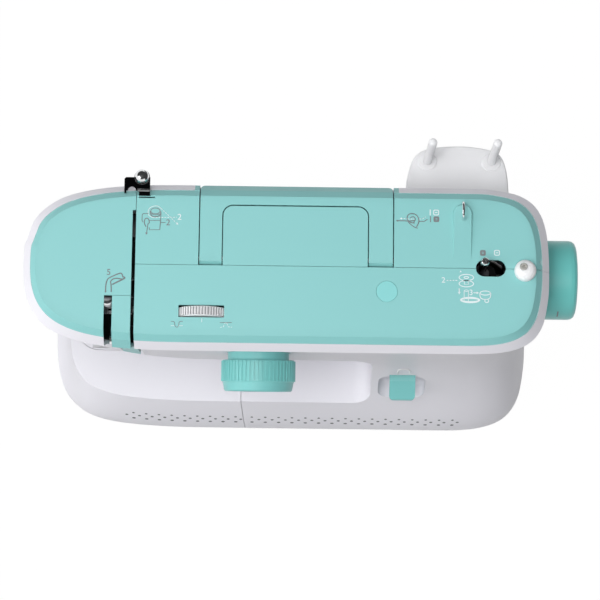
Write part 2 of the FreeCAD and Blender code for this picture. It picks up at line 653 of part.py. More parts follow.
# Base pan with rows of vents under the motor.
pan_start = size("table_split") + bed * size("split_lean") + flange + 0.4
pan_zone = solid_box((pan_start, -FAR, cover_base), (FAR, FAR, cover_base + 3))
pan = lofted([plan("foot", wall + 0.8), plan("bed", wall + 0.8)], ruled=True).common(pan_zone)
vents = [
    block((x, y, -5), (x + 3, y + 26, 20), 1.4, Vector(0, 0, 1))
    for x in range(70, 145, 7) for y in (-44, -10)]
screw_spots = [(-20, -58), (-20, 22), (148, -50), (148, 14)]
screw_holes = [Part.makeCylinder(1.8, 30, Vector(x, y, -5)) for x, y in screw_spots]
keep(shaped("base_pan", pan.cut(vents + screw_holes).removeSplitter()))

feet = [cylinder(f"foot_{index}", "z", (x, y, 0), 9, "cover_base")
        for index, (x, y) in enumerate([(-32, -74), (-32, 38), (150, -70), (150, 32)])]
keep(grouped("rubber_feet", *feet))


def screw(name, at, head, shank, length):
    profile = [(0, 0), (head, 0), (head, 1.2), (shank, 1.9), (shank, length), (0, length)]
    return turned(name, "z", at, profile)


screws = [
    screw(f"base_screw_{index}", (x, y, 1.6), 3.2, 1.8, 14) for index, (x, y) in enumerate(screw_spots)]
stopper_head = turned(
    "stopper_screw", "z", ("stopper_x - 1.6", "stopper_y + 1.9", 0),
    [(0, 280), (1.5, 280), (1.5, 291.4), (2.7, 291.4), (2.7, 293.6), (2.2, 294.2), (1, 294.2), (1, 293),
     (0, 293)])
keep(grouped("cover_screws", *screws, stopper_head))

# Needle plate and clear bobbin cover, flush with the bed.
plate = padded(
    "plate_blank", "XY_Plane",
    [(-174.8, -16.3), (-122.2, -16.3), (-122.2, 18.3), (-174.8, 18.3)],
    (0, 0, "bed_z - plate_thick"), "plate_thick")
needle_slot = box(
    "needle_slot", ("needle_x - 3.5", "needle_y - 0.9", 50), ("needle_x + 3.5", "needle_y + 0.9", 70))
feed_slots = [box(f"feed_slot_{index}", (f"needle_x + {x}", -7.4, 50), (f"needle_x + {x} + 4.1", 17, 70))
              for index, x in enumerate((-7.8, 3.7))]
guide_lines = [box(f"guide_line_{index}", (x, -12, "bed_z - 0.3"), (f"{x} + 0.5", 14, 70))
               for index, x in enumerate((-140, -136, -132, -128))]
keep(cut("needle_plate", plate, needle_slot, *feed_slots, *guide_lines))
cover = padded(
    "cover_blank", "XY_Plane", [(-166, -38.9), (-131.3, -38.9), (-131.3, -16.8), (-166, -16.8)],
    (0, 0, "bed_z - plate_thick"), "plate_thick - 0.1")
finger = cylinder("cover_finger", "z", (-148.6, -42.7, 50), 6.5, 30)
keep(cut("bobbin_cover", cover, finger))

# Small pieces on the outside of the head and on the top.
cutter = box("cutter_block", (-202, -17, 186), (-191.5, 5, 204))
cutter_gap = box("cutter_gap", (-210, -14, 196.4), (-194.5, 10, 197.6))
cutter_lead = padded(
    "cutter_lead", "YZ_Plane", [(-2, 197), (8, 192.5), (8, 201.5)], (-210, 0, 0), 15)
keep(cut("thread_cutter", cutter, cutter_gap, cutter_lead))
keep(turned(
    "lamp_lens", "z", (-181, -13, 0),
    [(0, 148.4), (3.4, 148.8), (5, 150), (5, 154), (4, 154), (4, 152), (0, 152)]))

stud_spot = (-116.3, 50.8)
bracket = padded(
    "bracket_blank", "XY_Plane",
    [(-129, 39), (-127.4, 39), (-127.4, 41), (-119.6, 41), (-118.4, 39.8), (-118.4, 37.2), (-110.4, 37.2),
     (-110.4, 50.8), (-127.8, 50.8), (-129, 49.6)],
    (0, 0, 283.6), 1.3)
bracket_ear = cylinder("bracket_ear", "z", (*stud_spot, 283.6), 4.9, 1.3)
bracket_bead = cylinder("bracket_bead", "x", (-119.4, 41.4, 284.6), 1.1, 8.8)
bracket_eye = cylinder("bracket_eye", "z", (-123.5, 41, 270), 2.9, 40)
bracket_hole = cylinder("bracket_hole", "z", (*stud_spot, 270), 1.5, 40)
bracket_solid = fused("bracket_solid", bracket, bracket_ear, bracket_bead)
keep(cut("pretension_bracket", bracket_solid, bracket_eye, bracket_hole))
keep(turned(
    "pretension_stud", "z", (*stud_spot, 0),
    [(0, 279.5), (3, 279.5), (3, 283.6), (1.5, 283.6), (1.5, 284.9), (5.6, 284.9), (5.6, 285.5), (2.2, 285.9),
     (2.2, 286.2), (5.2, 287), (5.1, 288.4), (4.4, 290.1), (3.1, 291.4), (1.6, 292.1), (0, 292.3)]))

# Wire loop on the ridge: one rod bent over in an arch.
loop_x = 114.6
loop_front = 22
loop_back = 33.6
loop_spring = 291
loop_half = (loop_back - loop_front) / 2
loop_path = Part.Wire([
    Part.LineSegment(Vector(loop_x, loop_front, 286), Vector(loop_x, loop_front, loop_spring)).toShape(),
    Part.Arc(
        Vector(loop_x, loop_front, loop_spring),
        Vector(loop_x, loop_front + loop_half, loop_spring + loop_half),
        Vector(loop_x, loop_back, loop_spring)).toShape(),
    Part.LineSegment(Vector(loop_x, loop_back, loop_spring), Vector(loop_x, loop_back, 286)).toShape(),
])
loop_ring = Part.Wire(Part.makeCircle(0.95, Vector(loop_x, loop_front, 286), Vector(0, 0, 1)))
loop_shape = loop_path.makePipeShell([loop_ring], True, False)
keep(shaped("thread_loop", loop_shape.cut(rear_panel)))

stopper = turned(
    "stopper_dome", "z", ("stopper_x", "stopper_y", 0),
    [(0, 274), (2.95, 274), (2.95, "top_z + 0.3"), ("stopper_radius - 0.3", "top_z + 0.3"),
     ("stopper_radius", "top_z + 0.8"), ("stopper_radius", "top_z + 3.4"),
     ("stopper_radius - 0.8", "top_z + 5.6"), ("stopper_radius - 2.4", "top_z + 7.2"),
     ("stopper_radius - 4.6", "top_z + 8.1"), (0, "top_z + 8.4")])
stopper_bore = cylinder("stopper_bore", "z", ("stopper_x - 1.6", "stopper_y + 1.9", 270), 1.5, 40)
stopper_sink = cylinder("stopper_sink", "z", ("stopper_x - 1.6", "stopper_y + 1.9", 291.4), 2.8, 10)
keep(cut("winder_stopper", stopper, stopper_bore, stopper_sink))

# Bobbin winder: spindle with its tyre on a swinging arm.
spindle = turned(
    "spindle_turning", "z", ("winder_x", "winder_y", 0),
    [(0, 226), (2.5, 226), (2.5, 262), (3, 262), (3, 300.4), (2.6, 301.6), (2.2, 302), (1.8, 302), (1.8, 293),
     (0, 293)])
spindle_slit = box(
    "spindle_slit", ("winder_x - 5", "winder_y - 0.5", 291), ("winder_x + 5", "winder_y + 0.5", 304))
keep(cut("winder_spindle", spindle, spindle_slit))
keep(turned(
    "winder_tyre", "z", ("winder_x", "winder_y", 0),
    [(2.5, 229), (6, 229), (6, 230), ("tyre_radius - 1", 230), ("tyre_radius", 231), ("tyre_radius", 235),
     ("tyre_radius - 1", 236), (6, 236), (6, 240), (2.5, 240)]))
arm_plate = padded(
    "winder_plate", "XY_Plane",
    [("winder_pivot_x - 6", "winder_pivot_y"), ("winder_pivot_x + 6", "winder_pivot_y"),
     ("winder_x + 5.5", "winder_y"), ("winder_x - 5.5", "winder_y")], (0, 0, 250), 4)
arm_hub = cylinder("winder_hub", "z", ("winder_pivot_x", "winder_pivot_y", 247), 6.5, 10)
arm_eye = cylinder("winder_eye", "z", ("winder_x", "winder_y", 249), 5.8, 6)
arm_hub_bore = cylinder(
    "winder_hub_bore", "z", ("winder_pivot_x", "winder_pivot_y", 240), "3 + running", 30)
arm_eye_bore = cylinder("winder_eye_bore", "z", ("winder_x", "winder_y", 240), "2.5 + running", 30)
arm_solid = fused("winder_arm_solid", arm_plate, arm_hub, arm_eye)
keep(cut("winder_arm", arm_solid, arm_hub_bore, arm_eye_bore))

# Handwheel with a rounded outer edge and a dished face.
wheel = turned(
    "handwheel", "x", (0, "shaft_y", "shaft_z"),
    [("shaft_radius", "wheel_left - 8"), (10.5, "wheel_left - 8"), (10.5, "wheel_left"),
     ("wheel_radius - 2", "wheel_left"), ("wheel_radius", "wheel_left + 2"),
     ("wheel_radius", "wheel_right - 5"), ("wheel_radius - 0.5", "wheel_right - 2.8"),
     ("wheel_radius - 1.8", "wheel_right - 1.1"),
     ("wheel_radius - 3.8", "wheel_right - 0.2"), ("wheel_radius - 6", "wheel_right"),
     ("wheel_radius - 9.5", "wheel_right - 1.2"), (8, "wheel_right - 2.4"), (0, "wheel_right - 2.4"),
     (0, "wheel_right - 6"), ("shaft_radius", "wheel_right - 6")])
keep(wheel)

# Stitch dial: smooth collar, ribbed grip, tapered smooth ring and a dished face.
dial_at = ("dial_x", "dial_y", "dial_z")
dial = turned(
    "stitch_dial", "front", dial_at,
    [(0, -18), (5, -18), (5, 0), (22.8, 0), (22.8, 15.6), ("dial_radius - 0.8", 15.6), ("dial_radius", 16.4),
     ("dial_radius", 31.4), ("dial_radius - 0.6", 32.2), (25.2, 38), (24.4, 38.8), (22.6, 38.8), (21.6, 37.6),
     (0, 37.6)])
dial = patterned(
    dial, "stitch_dial_ribs", "PartDesign::Pad",
    [("dial_radius - 0.8", -0.45), ("dial_radius + dial_rib", -0.3), ("dial_radius + dial_rib", 0.3),
     ("dial_radius - 0.8", 0.45)], 16.4, 15, "dial_ribs")
keep(place(dial, dial_at, dial_turn))
cams = [cylinder(f"cam_{index}", "z", (x, y, z), radius, 2.6)
        for index, (z, radius, x, y) in enumerate(
            [(-4.8, 14, 1.2, 0), (-8.2, 16, -1, 1), (-11.6, 13, 0.6, -1.4), (-15, 15, -1.6, -0.6)])]
cam_core = cylinder("cam_core", "z", (0, 0, -16), 9, 14)
cam_bore = cylinder("cam_bore", "z", (0, 0, -30), 5, 40)
keep(place(cut("pattern_cams", fused("cam_stack", cam_core, *cams), cam_bore), dial_at, dial_turn))

# Tension wheel, grooved all round, on its own axle.
tension = turned(
    "tension_dial", "y", ("tension_x", "tension_y", "tension_z"),
    [(0, -8), (3, -8), (3, "-tension_wide / 2"),
     ("tension_radius - tension_groove - 0.6", "-tension_wide / 2"),
     ("tension_radius - tension_groove", "-tension_wide / 2 + 0.6"),
     ("tension_radius - tension_groove", "tension_wide / 2 - 0.6"),
     ("tension_radius - tension_groove - 0.6", "tension_wide / 2"), (3, "tension_wide / 2"), (3, 8), (0, 8)])
keep(patterned(
    tension, "tension_ribs", "PartDesign::Pad",
    [("tension_radius - tension_groove - 0.4", -0.55), ("tension_radius + tension_rib", -0.35),
     ("tension_radius + tension_rib", 0.35), ("tension_radius - tension_groove - 0.4", 0.55)],
    "-tension_wide / 2 + 0.6", "tension_wide - 1.2", "tension_ribs"))
discs = [tube(f"tension_disc_{index}", "x", (x, -40, 250), 10, 2.5, 1.2)
         for index, x in enumerate((-121.8, -120))]
tension_stud = cylinder("tension_stud", "x", (-123, -40, 250), 2.5, 25)
keep(grouped("tension_discs", *discs, tension_stud))

# Reverse lever: a paddle sloping down to the front.
paddle = padded(
    "lever_paddle", "YZ_Plane",
    [("lever_y", "lever_z + 4.5"), ("lever_y", "lever_z - 4.5"), (-65, 98.6), (-79.8, 91.7), (-81.6, 92),
     (-82.7, 93.8), (-82.1, 95.9), (-69, 104.6), (-64, "lever_z + 1")],
    ("lever_x - lever_wide / 2", 0, 0), "lever_wide")
lever_hub = cylinder("lever_hub", "x", ("lever_x - lever_wide / 2", "lever_y", "lever_z"), 4.5, "lever_wide")
lever_hole = cylinder("lever_hole", "x", (50, "lever_y", "lever_z"), "2 + running", 60)
lever_plan = block((lever_left, -82.8, 50), (lever_right, -30, 140), 3.6, Vector(0, 0, 1))
lever_corners = shaped("lever_corners", solid_box((60, -90, 60), (100, -78, 130)).cut(lever_plan))
keep(cut("reverse_lever", fused("lever_solid", paddle, lever_hub), lever_hole, lever_corners))

# Power inlet with the rocker switch beside it, on the right end.
inlet = box(
    "inlet_block", ("inlet_left", "inlet_front", "inlet_low"), ("inlet_right", "inlet_back", "inlet_high"))
inlet_well = box(
    "inlet_well", ("inlet_left + 2", "inlet_back - 27", "inlet_low + 4"),
    (180, "inlet_back - 3", "inlet_high - 4"))
inlet_pins = [
    cylinder(f"inlet_pin_{index}", "x", ("inlet_left + 1", f"inlet_back - {offset}", "rocker_z"), 1.3, 7.5)
    for index, offset in enumerate((21, 15, 9))]
rocker_well = box(
    "rocker_well", (160, "rocker_y - 9", "inlet_low + 3.3"), (180, "rocker_y + 9", "inlet_high - 3.3"))
rocker_bore = cylinder("rocker_bore", "y", ("rocker_x", "rocker_y - 10.6", "rocker_z"), "2 + running", 21.2)
inlet_frame = cut("inlet_frame", inlet, inlet_well, rocker_well, rocker_bore)
keep(fused("power_inlet", inlet_frame, *inlet_pins))
rocker = padded(
    "rocker_wedge", "XZ_Plane", [(168.5, 23), (168.5, 39), (173.4, 40), (175.6, 31), (177.2, 22)],
    (0, "rocker_y + 8.4", 0), 16.8)
rocker_axle = cylinder("rocker_axle", "y", ("rocker_x", "rocker_y - 10.4", "rocker_z"), 2, 20.8)
keep(fused("power_switch", rocker, rocker_axle))

# Presser lifter: hub with a lobe, arm hanging down and a thumb pad.
lifter_arm = padded(
    "lifter_arm", "YZ_Plane",
    [("lifter_y - 3", "lifter_z"), ("lifter_y - 3", 124), ("lifter_y + 3", 124),
     ("lifter_y + 3", "lifter_z - 3.8"), ("lifter_y + 10.6", "lifter_z + 2"),
     ("lifter_y + 9.8", "lifter_z + 5.4"), ("lifter_y + 1", "lifter_z + 4.9")],
    (-146.5, 0, 0), 5)
lifter_hub = cylinder("lifter_hub", "x", (-146.5, "lifter_y", "lifter_z"), 5, 5)
lifter_pad = box("lifter_pad", (-150, "lifter_y - 4", 116), (-138, "lifter_y + 4", 129))
lifter_hole = cylinder("lifter_hole", "x", (-160, "lifter_y", "lifter_z"), "2.5 + running", 30)
keep(cut("presser_lifter", fused("lifter_solid", lifter_arm, lifter_hub, lifter_pad), lifter_hole))

# Needle bar with its stud, clamp, needle and the link up to the crank.
bar = turned(
    "needle_bar_turning", "z", ("needle_x", "needle_y", 0),
    [(1, "clamp_low + 2"), ("bar_radius", "clamp_low + 2"), ("bar_radius", 200), (6, 200), (6, 207),
     ("bar_radius", 207), ("bar_radius", 261), ("bar_radius - 1", 262), (0, 262), (0, "clamp_low + 12"),
     (1, "clamp_low + 12")])
bar_stud = cylinder("needle_bar_stud", "x", ("needle_x + 4", "needle_y", 203.5), 2.5, 5.3)
keep(fused("needle_bar", bar, bar_stud))
clamp_ring = turned(
    "clamp_ring", "z", ("needle_x", "needle_y", "clamp_low"),
    [(1, 0), (4.6, 0), (5.6, 1), (5.6, 9), (4.6, 10), ("bar_radius", 10), ("bar_radius", 2), (1, 2)])
clamp_screw = cylinder("clamp_screw", "x", ("needle_x + 4.4", "needle_y", "clamp_low + 5"), 1.8, 5)
clamp_head = cylinder("clamp_head", "x", ("needle_x + 9", "needle_y", "clamp_low + 5"), 3.4, 4)
keep(fused("needle_clamp", clamp_ring, clamp_screw, clamp_head))
keep(turned(
    "needle", "z", ("needle_x", "needle_y", 0),
    [(0, "needle_tip"), (0.2, "needle_tip + 1"), (0.45, "needle_tip + 4"), (0.45, "clamp_low - 2"),
     (1, "clamp_low - 1"), (1, "clamp_low + 12"), (0, "clamp_low + 12")]))
link_bar = padded(
    "link_bar", "YZ_Plane",
    [("needle_y - 3.6", 203.5), ("needle_y + 3.6", 203.5), ("needle_y + 3.6", "shaft_z + crank_radius"),
     ("needle_y - 3.6", "shaft_z + crank_radius")], (-145.8, 0, 0), 3.1)
link_low = cylinder("link_low", "x", (-145.8, "needle_y", 203.5), 5.4, 3.1)
link_high = cylinder("link_high", "x", (-145.8, "needle_y", "shaft_z + crank_radius"), 5.4, 3.1)
link_bore = cylinder("link_bore", "x", (-150, "needle_y", 203.5), 2.5, 10)
link_eye = cylinder("link_eye", "x", (-150, "needle_y", "shaft_z + crank_radius"), 3.05, 10)
link_trim = cylinder("link_trim", "z", ("needle_x", "needle_y", 190), 6.1, 60)
link_solid = fused("link_solid", link_bar, link_low, link_high)
keep(cut("needle_bar_link", link_solid, link_bore, link_eye, link_trim))

# Presser bar, foot and spring.
presser = turned(
    "presser_turning", "z", ("needle_x", "presser_y", 0),
    [(0, 72), ("bar_radius", 72), ("bar_radius", 176.3), (6, 176.3), (6, 184), ("bar_radius", 184),
     ("bar_radius", 253), ("bar_radius - 1", 254), (0, 254)])
presser_lug = box("presser_lug", ("needle_x", "presser_y - 3.5", 176.3), (-140.6, "presser_y + 7", 184))
keep(fused("presser_bar", presser, presser_lug))
shank = box("foot_shank", ("needle_x - 6", "presser_y - 5", 70), ("needle_x + 5", "presser_y + 5.5", 88))
shank_bore = cylinder("foot_shank_bore", "z", ("needle_x", "presser_y", 72), "bar_radius", 40)
ankle = box(
    "foot_ankle", ("needle_x - 3.5", "presser_y - 7.9", 64.5), ("needle_x + 3.5", "presser_y + 2", 71))
sole = padded(
    "foot_sole", "YZ_Plane",
    [(-15, "sole_z"), (8, "sole_z"), (9.4, "sole_z + 1"), (9.4, "sole_z + 1.8"), (-13, "sole_z + 1.8"),
     (-16, "sole_z + 3.4"), (-16.4, "sole_z + 2.2")], ("needle_x - 6.8", 0, 0), 13.6)
toe_gap = box("toe_gap", ("needle_x - 1.6", -30, 60), ("needle_x + 1.6", -10.6, 80))
needle_gap = box("needle_gap", ("needle_x - 3.4", -10.8, 60), ("needle_x + 3.4", -4.6, 70))
foot_screw = cylinder("foot_screw", "x", ("needle_x - 13", "presser_y", 80), 3.8, 7)
foot_screw_head = cylinder("foot_screw_head", "x", ("needle_x - 17", "presser_y", 80), 5.2, 4.2)
foot_parts = fused("foot_parts", shank, ankle, sole, foot_screw, foot_screw_head)
keep(cut("presser_foot", foot_parts, shank_bore, toe_gap, needle_gap))
spring_low = 184.8
spring_high = 239
helix = Part.makeHelix((spring_high - spring_low) / 12, spring_high - spring_low, 5.2)
helix_path = Part.Wire(helix.Edges)
coil_ring = Part.Wire(Part.makeCircle(0.6, Vector(5.2, 0, 0), Vector(0, 1, 0)))
coil = helix_path.makePipeShell([coil_ring], True, True)
spring = shaped("presser_spring", coil)
keep(place(spring, ("needle_x", "presser_y", spring_low), Rotation()))

# Feed dog: two toothed bars on a carrier with a drive rod.
carrier = box("feed_carrier", ("needle_x - 8", -4, 50), ("needle_x + 8", 14, 57))
feed_rod = box("feed_rod", ("needle_x", 5, 50), (-118, 11, 54))


def feed_bar(name, offset):
    teeth = []
    for step in range(12):
        start = -4 + step * 1.5
        teeth += [(start, 61.9), (start + 1.4, 62.7)]
    profile = [(-4, 56)] + teeth + [(14, 61.9), (14, 56)]
    return padded(name, "YZ_Plane", profile, (f"needle_x + {offset}", 0, 0), 3.3)


keep(fused("feed_dog", carrier, feed_rod, feed_bar("feed_left", -7.4), feed_bar("feed_right", 4.1)))

# Take-up lever in its slot.
takeup_bar = padded(
    "takeup_bar", "YZ_Plane",
    [("takeup_y + 2.6", "takeup_z + 2.6"), ("takeup_y - 2.6", "takeup_z - 2.6"),
     ("takeup_y - 31.8", "takeup_z + 28.2"), ("takeup_y - 28.2", "takeup_z + 31.8")],
    ("takeup_x - 0.8", 0, 0), 1.6)
takeup_boss = cylinder("takeup_boss", "x", ("takeup_x - 0.8", "takeup_y", "takeup_z"), 4.6, 2.6)
takeup_eye = cylinder("takeup_eye", "x", ("takeup_x - 0.8", "takeup_y - 30", "takeup_z + 30"), 3.6, 1.6)
takeup_hole = cylinder("takeup_hole", "x", (-150, "takeup_y - 30", "takeup_z + 30"), 1.3, 30)
takeup_bore = cylinder("takeup_bore", "x", (-150, "takeup_y", "takeup_z"), "2 + running", 30)
takeup_solid = fused("takeup_solid", takeup_bar, takeup_boss, takeup_eye)
keep(cut("take_up_lever", takeup_solid, takeup_hole, takeup_bore))

# Main shaft line.
keep(cylinder("main_shaft", "x", (-136, "shaft_y", "shaft_z"), "shaft_radius", "wheel_right + 130"))
bushes = [tube(f"bush_{index}", "x", (x, "shaft_y", "shaft_z"), 8, "shaft_radius + running", wide)
          for index, (x, wide) in enumerate([(-112, 14), (46, 14), (98, 8)])]
keep(grouped("shaft_bushes", *bushes))
crank = tube(
    "crank_blank", "x", ("crank_left", "shaft_y", "shaft_z"), "crank_disc_radius", "shaft_radius",
    "crank_right - crank_left")
crank_pin = cylinder(
    "crank_pin", "x", (-142.3, "shaft_y", "shaft_z + crank_radius"), 3, "crank_left + 144.3")
crank_trim = box("crank_trim", (-150, "shaft_y - 30", "shaft_z + 6"), (-120, "shaft_y - 9", "shaft_z + 30"))
crank_twin = box("crank_twin", (-150, "shaft_y + 9", "shaft_z + 6"), (-120, "shaft_y + 30", "shaft_z + 30"))
keep(cut("crank_disc", fused("crank_solid", crank, crank_pin), crank_trim, crank_twin))
keep(turned(
    "belt_pulley", "x", (0, "shaft_y", "shaft_z"),
    [("shaft_radius", "pulley_left - 4"), (9, "pulley_left - 4"), (9, "pulley_left + 1.6"),
     (19, "pulley_left + 1.6"), (19, "pulley_left - 0.8"), ("pulley_radius + 2.2", "pulley_left - 0.8"),
     ("pulley_radius + 2.2", "pulley_left"), ("pulley_radius", "pulley_left"),
     ("pulley_radius", "pulley_left + pulley_wide"), ("pulley_radius + 2.2", "pulley_left + pulley_wide"),
     ("pulley_radius + 2.2", "pulley_left + pulley_wide + 0.8"), (19, "pulley_left + pulley_wide + 0.8"),
     (19, "pulley_left + 4"), (9, "pulley_left + 4"), (9, "pulley_left + 9"),
     ("shaft_radius", "pulley_left + 9")]))


def sprocket(name, y, z):
    profile = [
        ("shaft_radius", "sprocket_left - 3.5"), (8, "sprocket_left - 3.5"), (8, "sprocket_left"),
        (16.4, "sprocket_left"), (16.4, "sprocket_left + 0.8"), ("sprocket_radius", "sprocket_left + 0.8"),
        ("sprocket_radius", "sprocket_left + sprocket_wide - 0.8"),
        (16.4, "sprocket_left + sprocket_wide - 0.8"), (16.4, "sprocket_left + sprocket_wide"),
        ("shaft_radius", "sprocket_left + sprocket_wide")]
    wheel_body = turned(name, "x", (0, y, z), profile)
    corners = [("sprocket_radius - 1", -0.7), ("sprocket_radius + 0.6", -0.9), ("sprocket_radius + 0.6", 0.9),
               ("sprocket_radius - 1", 0.7)]
    return patterned(
        wheel_body, f"{name}_gaps", "PartDesign::Pocket", corners, "sprocket_left + 0.8",
        "sprocket_wide - 1.6", 24)


keep(sprocket("upper_sprocket", "shaft_y", "shaft_z"))
keep(sprocket("lower_sprocket", "lower_y", "lower_z"))


# Loop round two wheels at (y, z), as the face between an outer and an inner outline.
def loop_wire(first, first_radius, second, second_radius, x):
    one = Vector(x, *first)
    two = Vector(x, *second)
    span = (two - one).Length
    along = (two - one).normalize()
    side = Vector(0, -along.z, along.y)
    lean = (first_radius - second_radius) / span
    rise = math.sqrt(1 - lean * lean)
    high = along * lean + side * rise
    low = along * lean - side * rise
    return Part.Wire([
        Part.LineSegment(one + high * first_radius, two + high * second_radius).toShape(),
        Part.Arc(
            two + high * second_radius, two + along * second_radius, two + low * second_radius).toShape(),
        Part.LineSegment(two + low * second_radius, one + low * first_radius).toShape(),
        Part.Arc(
            one + low * first_radius, one - along * first_radius, one + high * first_radius).toShape(),
    ])


def belt(name, first, first_radius, second, second_radius, x, wide):
    thick = size("belt_thick")
    clear = 0.1
    outer = loop_wire(first, first_radius + clear + thick, second, second_radius + clear + thick, x)
    inner = loop_wire(first, first_radius + clear, second, second_radius + clear, x)
    return shaped(name, Part.Face(outer).cut(Part.Face(inner)).extrude(Vector(wide, 0, 0)))


shaft_spot = (size("shaft_y"), size("shaft_z"))
lower_spot = (size("lower_y"), size("lower_z"))
motor_spot = (size("motor_y"), size("motor_z"))
sprocket_radius = size("sprocket_radius")
keep(belt(
    "timing_belt", shaft_spot, sprocket_radius, lower_spot, sprocket_radius,
    size("sprocket_left") + 1.2, size("sprocket_wide") - 2.4))
keep(belt(
    "drive_belt", shaft_spot, size("pulley_radius"), motor_spot, size("motor_pulley_radius"),
    size("pulley_left") + 0.3, size("pulley_wide") - 0.6))

keep(turned(
    "motor", "x", (0, "motor_y", "motor_z"),
    [("2.5 + running", 108), (9, 108), (9, "motor_left"), ("motor_radius - 3", "motor_left"),
     ("motor_radius", "motor_left + 3"), ("motor_radius", "motor_right - 3"),
     ("motor_radius - 3", "motor_right"), (9, "motor_right"), (9, 151), ("2.5 + running", 151)]))
keep(turned(
    "motor_pulley", "x", (0, "motor_y", "motor_z"),
    [(0, 109), (2.5, 109), (2.5, "pulley_left - 2"), (6, "pulley_left - 1.6"), (6, "pulley_left - 0.8"),
     (9.8, "pulley_left - 0.8"), (9.8, "pulley_left"), ("motor_pulley_radius", "pulley_left"),
     ("motor_pulley_radius", "pulley_left + pulley_wide"), (9.8, "pulley_left + pulley_wide"),
     (9.8, "pulley_left + pulley_wide + 0.8"), (0, "pulley_left + pulley_wide + 0.8")]))

# Lower shaft, bevel pair and hook.
keep(cylinder("lower_shaft", "x", (-147.9, "lower_y", "lower_z"), "shaft_radius", 232))


# Straight bevel gear with its cone's tip at the origin and its axis along +Z.
def bevel(teeth, radius, mate_radius, hub_radius, hub_long, first_turn):
    face_wide = 3.5
    cone_long = math.hypot(radius, mate_radius)
    pitch_angle = math.atan2(radius, mate_radius)
    root_angle = pitch_angle - math.atan(1.0 / cone_long)
    tip_angle = pitch_angle + math.atan(0.7 / cone_long)

    def spot(angle, distance):
        return Vector(distance * math.sin(angle), 0, distance * math.cos(angle))

    inner = cone_long - face_wide
    low = spot(root_angle, inner)
    high = spot(root_angle, cone_long)
    corners = [
        Vector(0, 0, low.z), low, high, Vector(hub_radius, 0, high.z),
        Vector(hub_radius, 0, high.z + hub_long), Vector(0, 0, high.z + hub_long)]
    solid = Part.Face(Part.makePolygon(corners + corners[:1])).revolve(Vector(), Vector(0, 0, 1), 360)

    def section(distance):
        share = distance / cone_long
        root = spot(root_angle - 0.03, distance)
        tip = spot(tip_angle, distance)
        low_half = Vector(0, 0.68 * share, 0)
        high_half = Vector(0, 0.24 * share, 0)
        points = [root - low_half, tip - high_half, tip + high_half, root + low_half]
        return Part.makePolygon(points + points[:1])

    tooth = Part.makeLoft([section(inner), section(cone_long)], True, True)
    ring = []
    for index in range(teeth):
        copy = tooth.copy()
        copy.rotate(Vector(), Vector(0, 0, 1), first_turn + 360 * index / teeth)
        ring.append(copy)
    return solid.fuse(ring).removeSplitter()


gear_teeth = 24
pinion_teeth = 12
gear_shape = bevel(gear_teeth, 10, 5, 8, 6, 0)
gear_shape = gear_shape.cut(Part.makeCylinder(size("shaft_radius"), 60, Vector(0, 0, -20)))
gear = shaped("hook_drive_gear", gear_shape)
keep(place(gear, ("hook_x", "lower_y", "lower_z"), TURNS["x"]))

hook_cup = turned(
    "hook_cup", "z", ("hook_x", "hook_y", 0),
    [(0, 16), (2.5, 16), (2.5, 38.4), (3.6, 38.4), (3.6, "hook_low"), ("hook_radius", "hook_low"),
     ("hook_radius", "hook_top"), ("hook_radius - 1.6", "hook_top"), ("hook_radius - 1.6", "hook_low + 2"),
     (0, "hook_low + 2")])
hook_window_cut = box("hook_window_cut", ("hook_x - 30", "hook_y - 8", 50), ("hook_x", "hook_y + 6", 70))
hook_bevel = shaped("hook_bevel", bevel(pinion_teeth, 5, 10, 3.6, 1.2, 180 / pinion_teeth))
place(hook_bevel, ("hook_x", "hook_y", "lower_z"), Rotation())
keep(cut("rotary_hook", fused("hook_solid", hook_cup, hook_bevel), hook_window_cut))
keep(turned(
    "bobbin_case", "z", ("hook_x", "hook_y", 0),
    [(0, 44.6), (11.5, 44.6), (11.5, 57.4), (10.5, 57.4), (10.5, 46.4), (3, 46.4), (3, 56), (0, 56)]))

# Frame casting that carries the bars, the shafts and the motor.
frame_boxes = {
    "beam": ((-118, -26, 188), (66, 10, 194)),
    "web": ((60, -40, 8), (66, 24, 194)),
    "left_pedestal": ((-112, -18, 190), (-98, 2, 248)),
    "mid_pedestal": ((46, -18, 190), (60, 2, 228)),
    "base_plate": ((60, -60, 8), (160, 30, 13)),
    "post": ((98, -20, 10), (106, 4, 228)),
    "motor_seat": ((118, 0, 10), (142, 16, 44)),
    "upper_guide": ((-166, -16, 240), (-98, 14, 248)),
    "left_plate": ((-166, -16, 158), (-160, 10.5, 248)),
    "lower_guide": ((-166, -16, 158), (-124, 10.5, 166)),
    "lifter_lug": ((-138, 6, 158), (-132, 22, 177)),
    "takeup_lug": ((-128, -39, 226), (-98, -29, 238)),
    "takeup_link": ((-112, -39, 222), (-98, -16, 238)),
    "tension_lug": ((-106, -46, 232), (-98, -16, 256)),
    "arm_beam": ((-158, 17, 15), (66, 24, 40)),
    "hook_seat": ((-158, -32, 14.8), (-146, 24, 19)),
    "shaft_seat": ((-124, -36, 15), (-112, 24, 40)),
}
frame_solid = fused(
    "frame_solid", *[box(f"frame_{name}", low, high) for name, (low, high) in frame_boxes.items()])
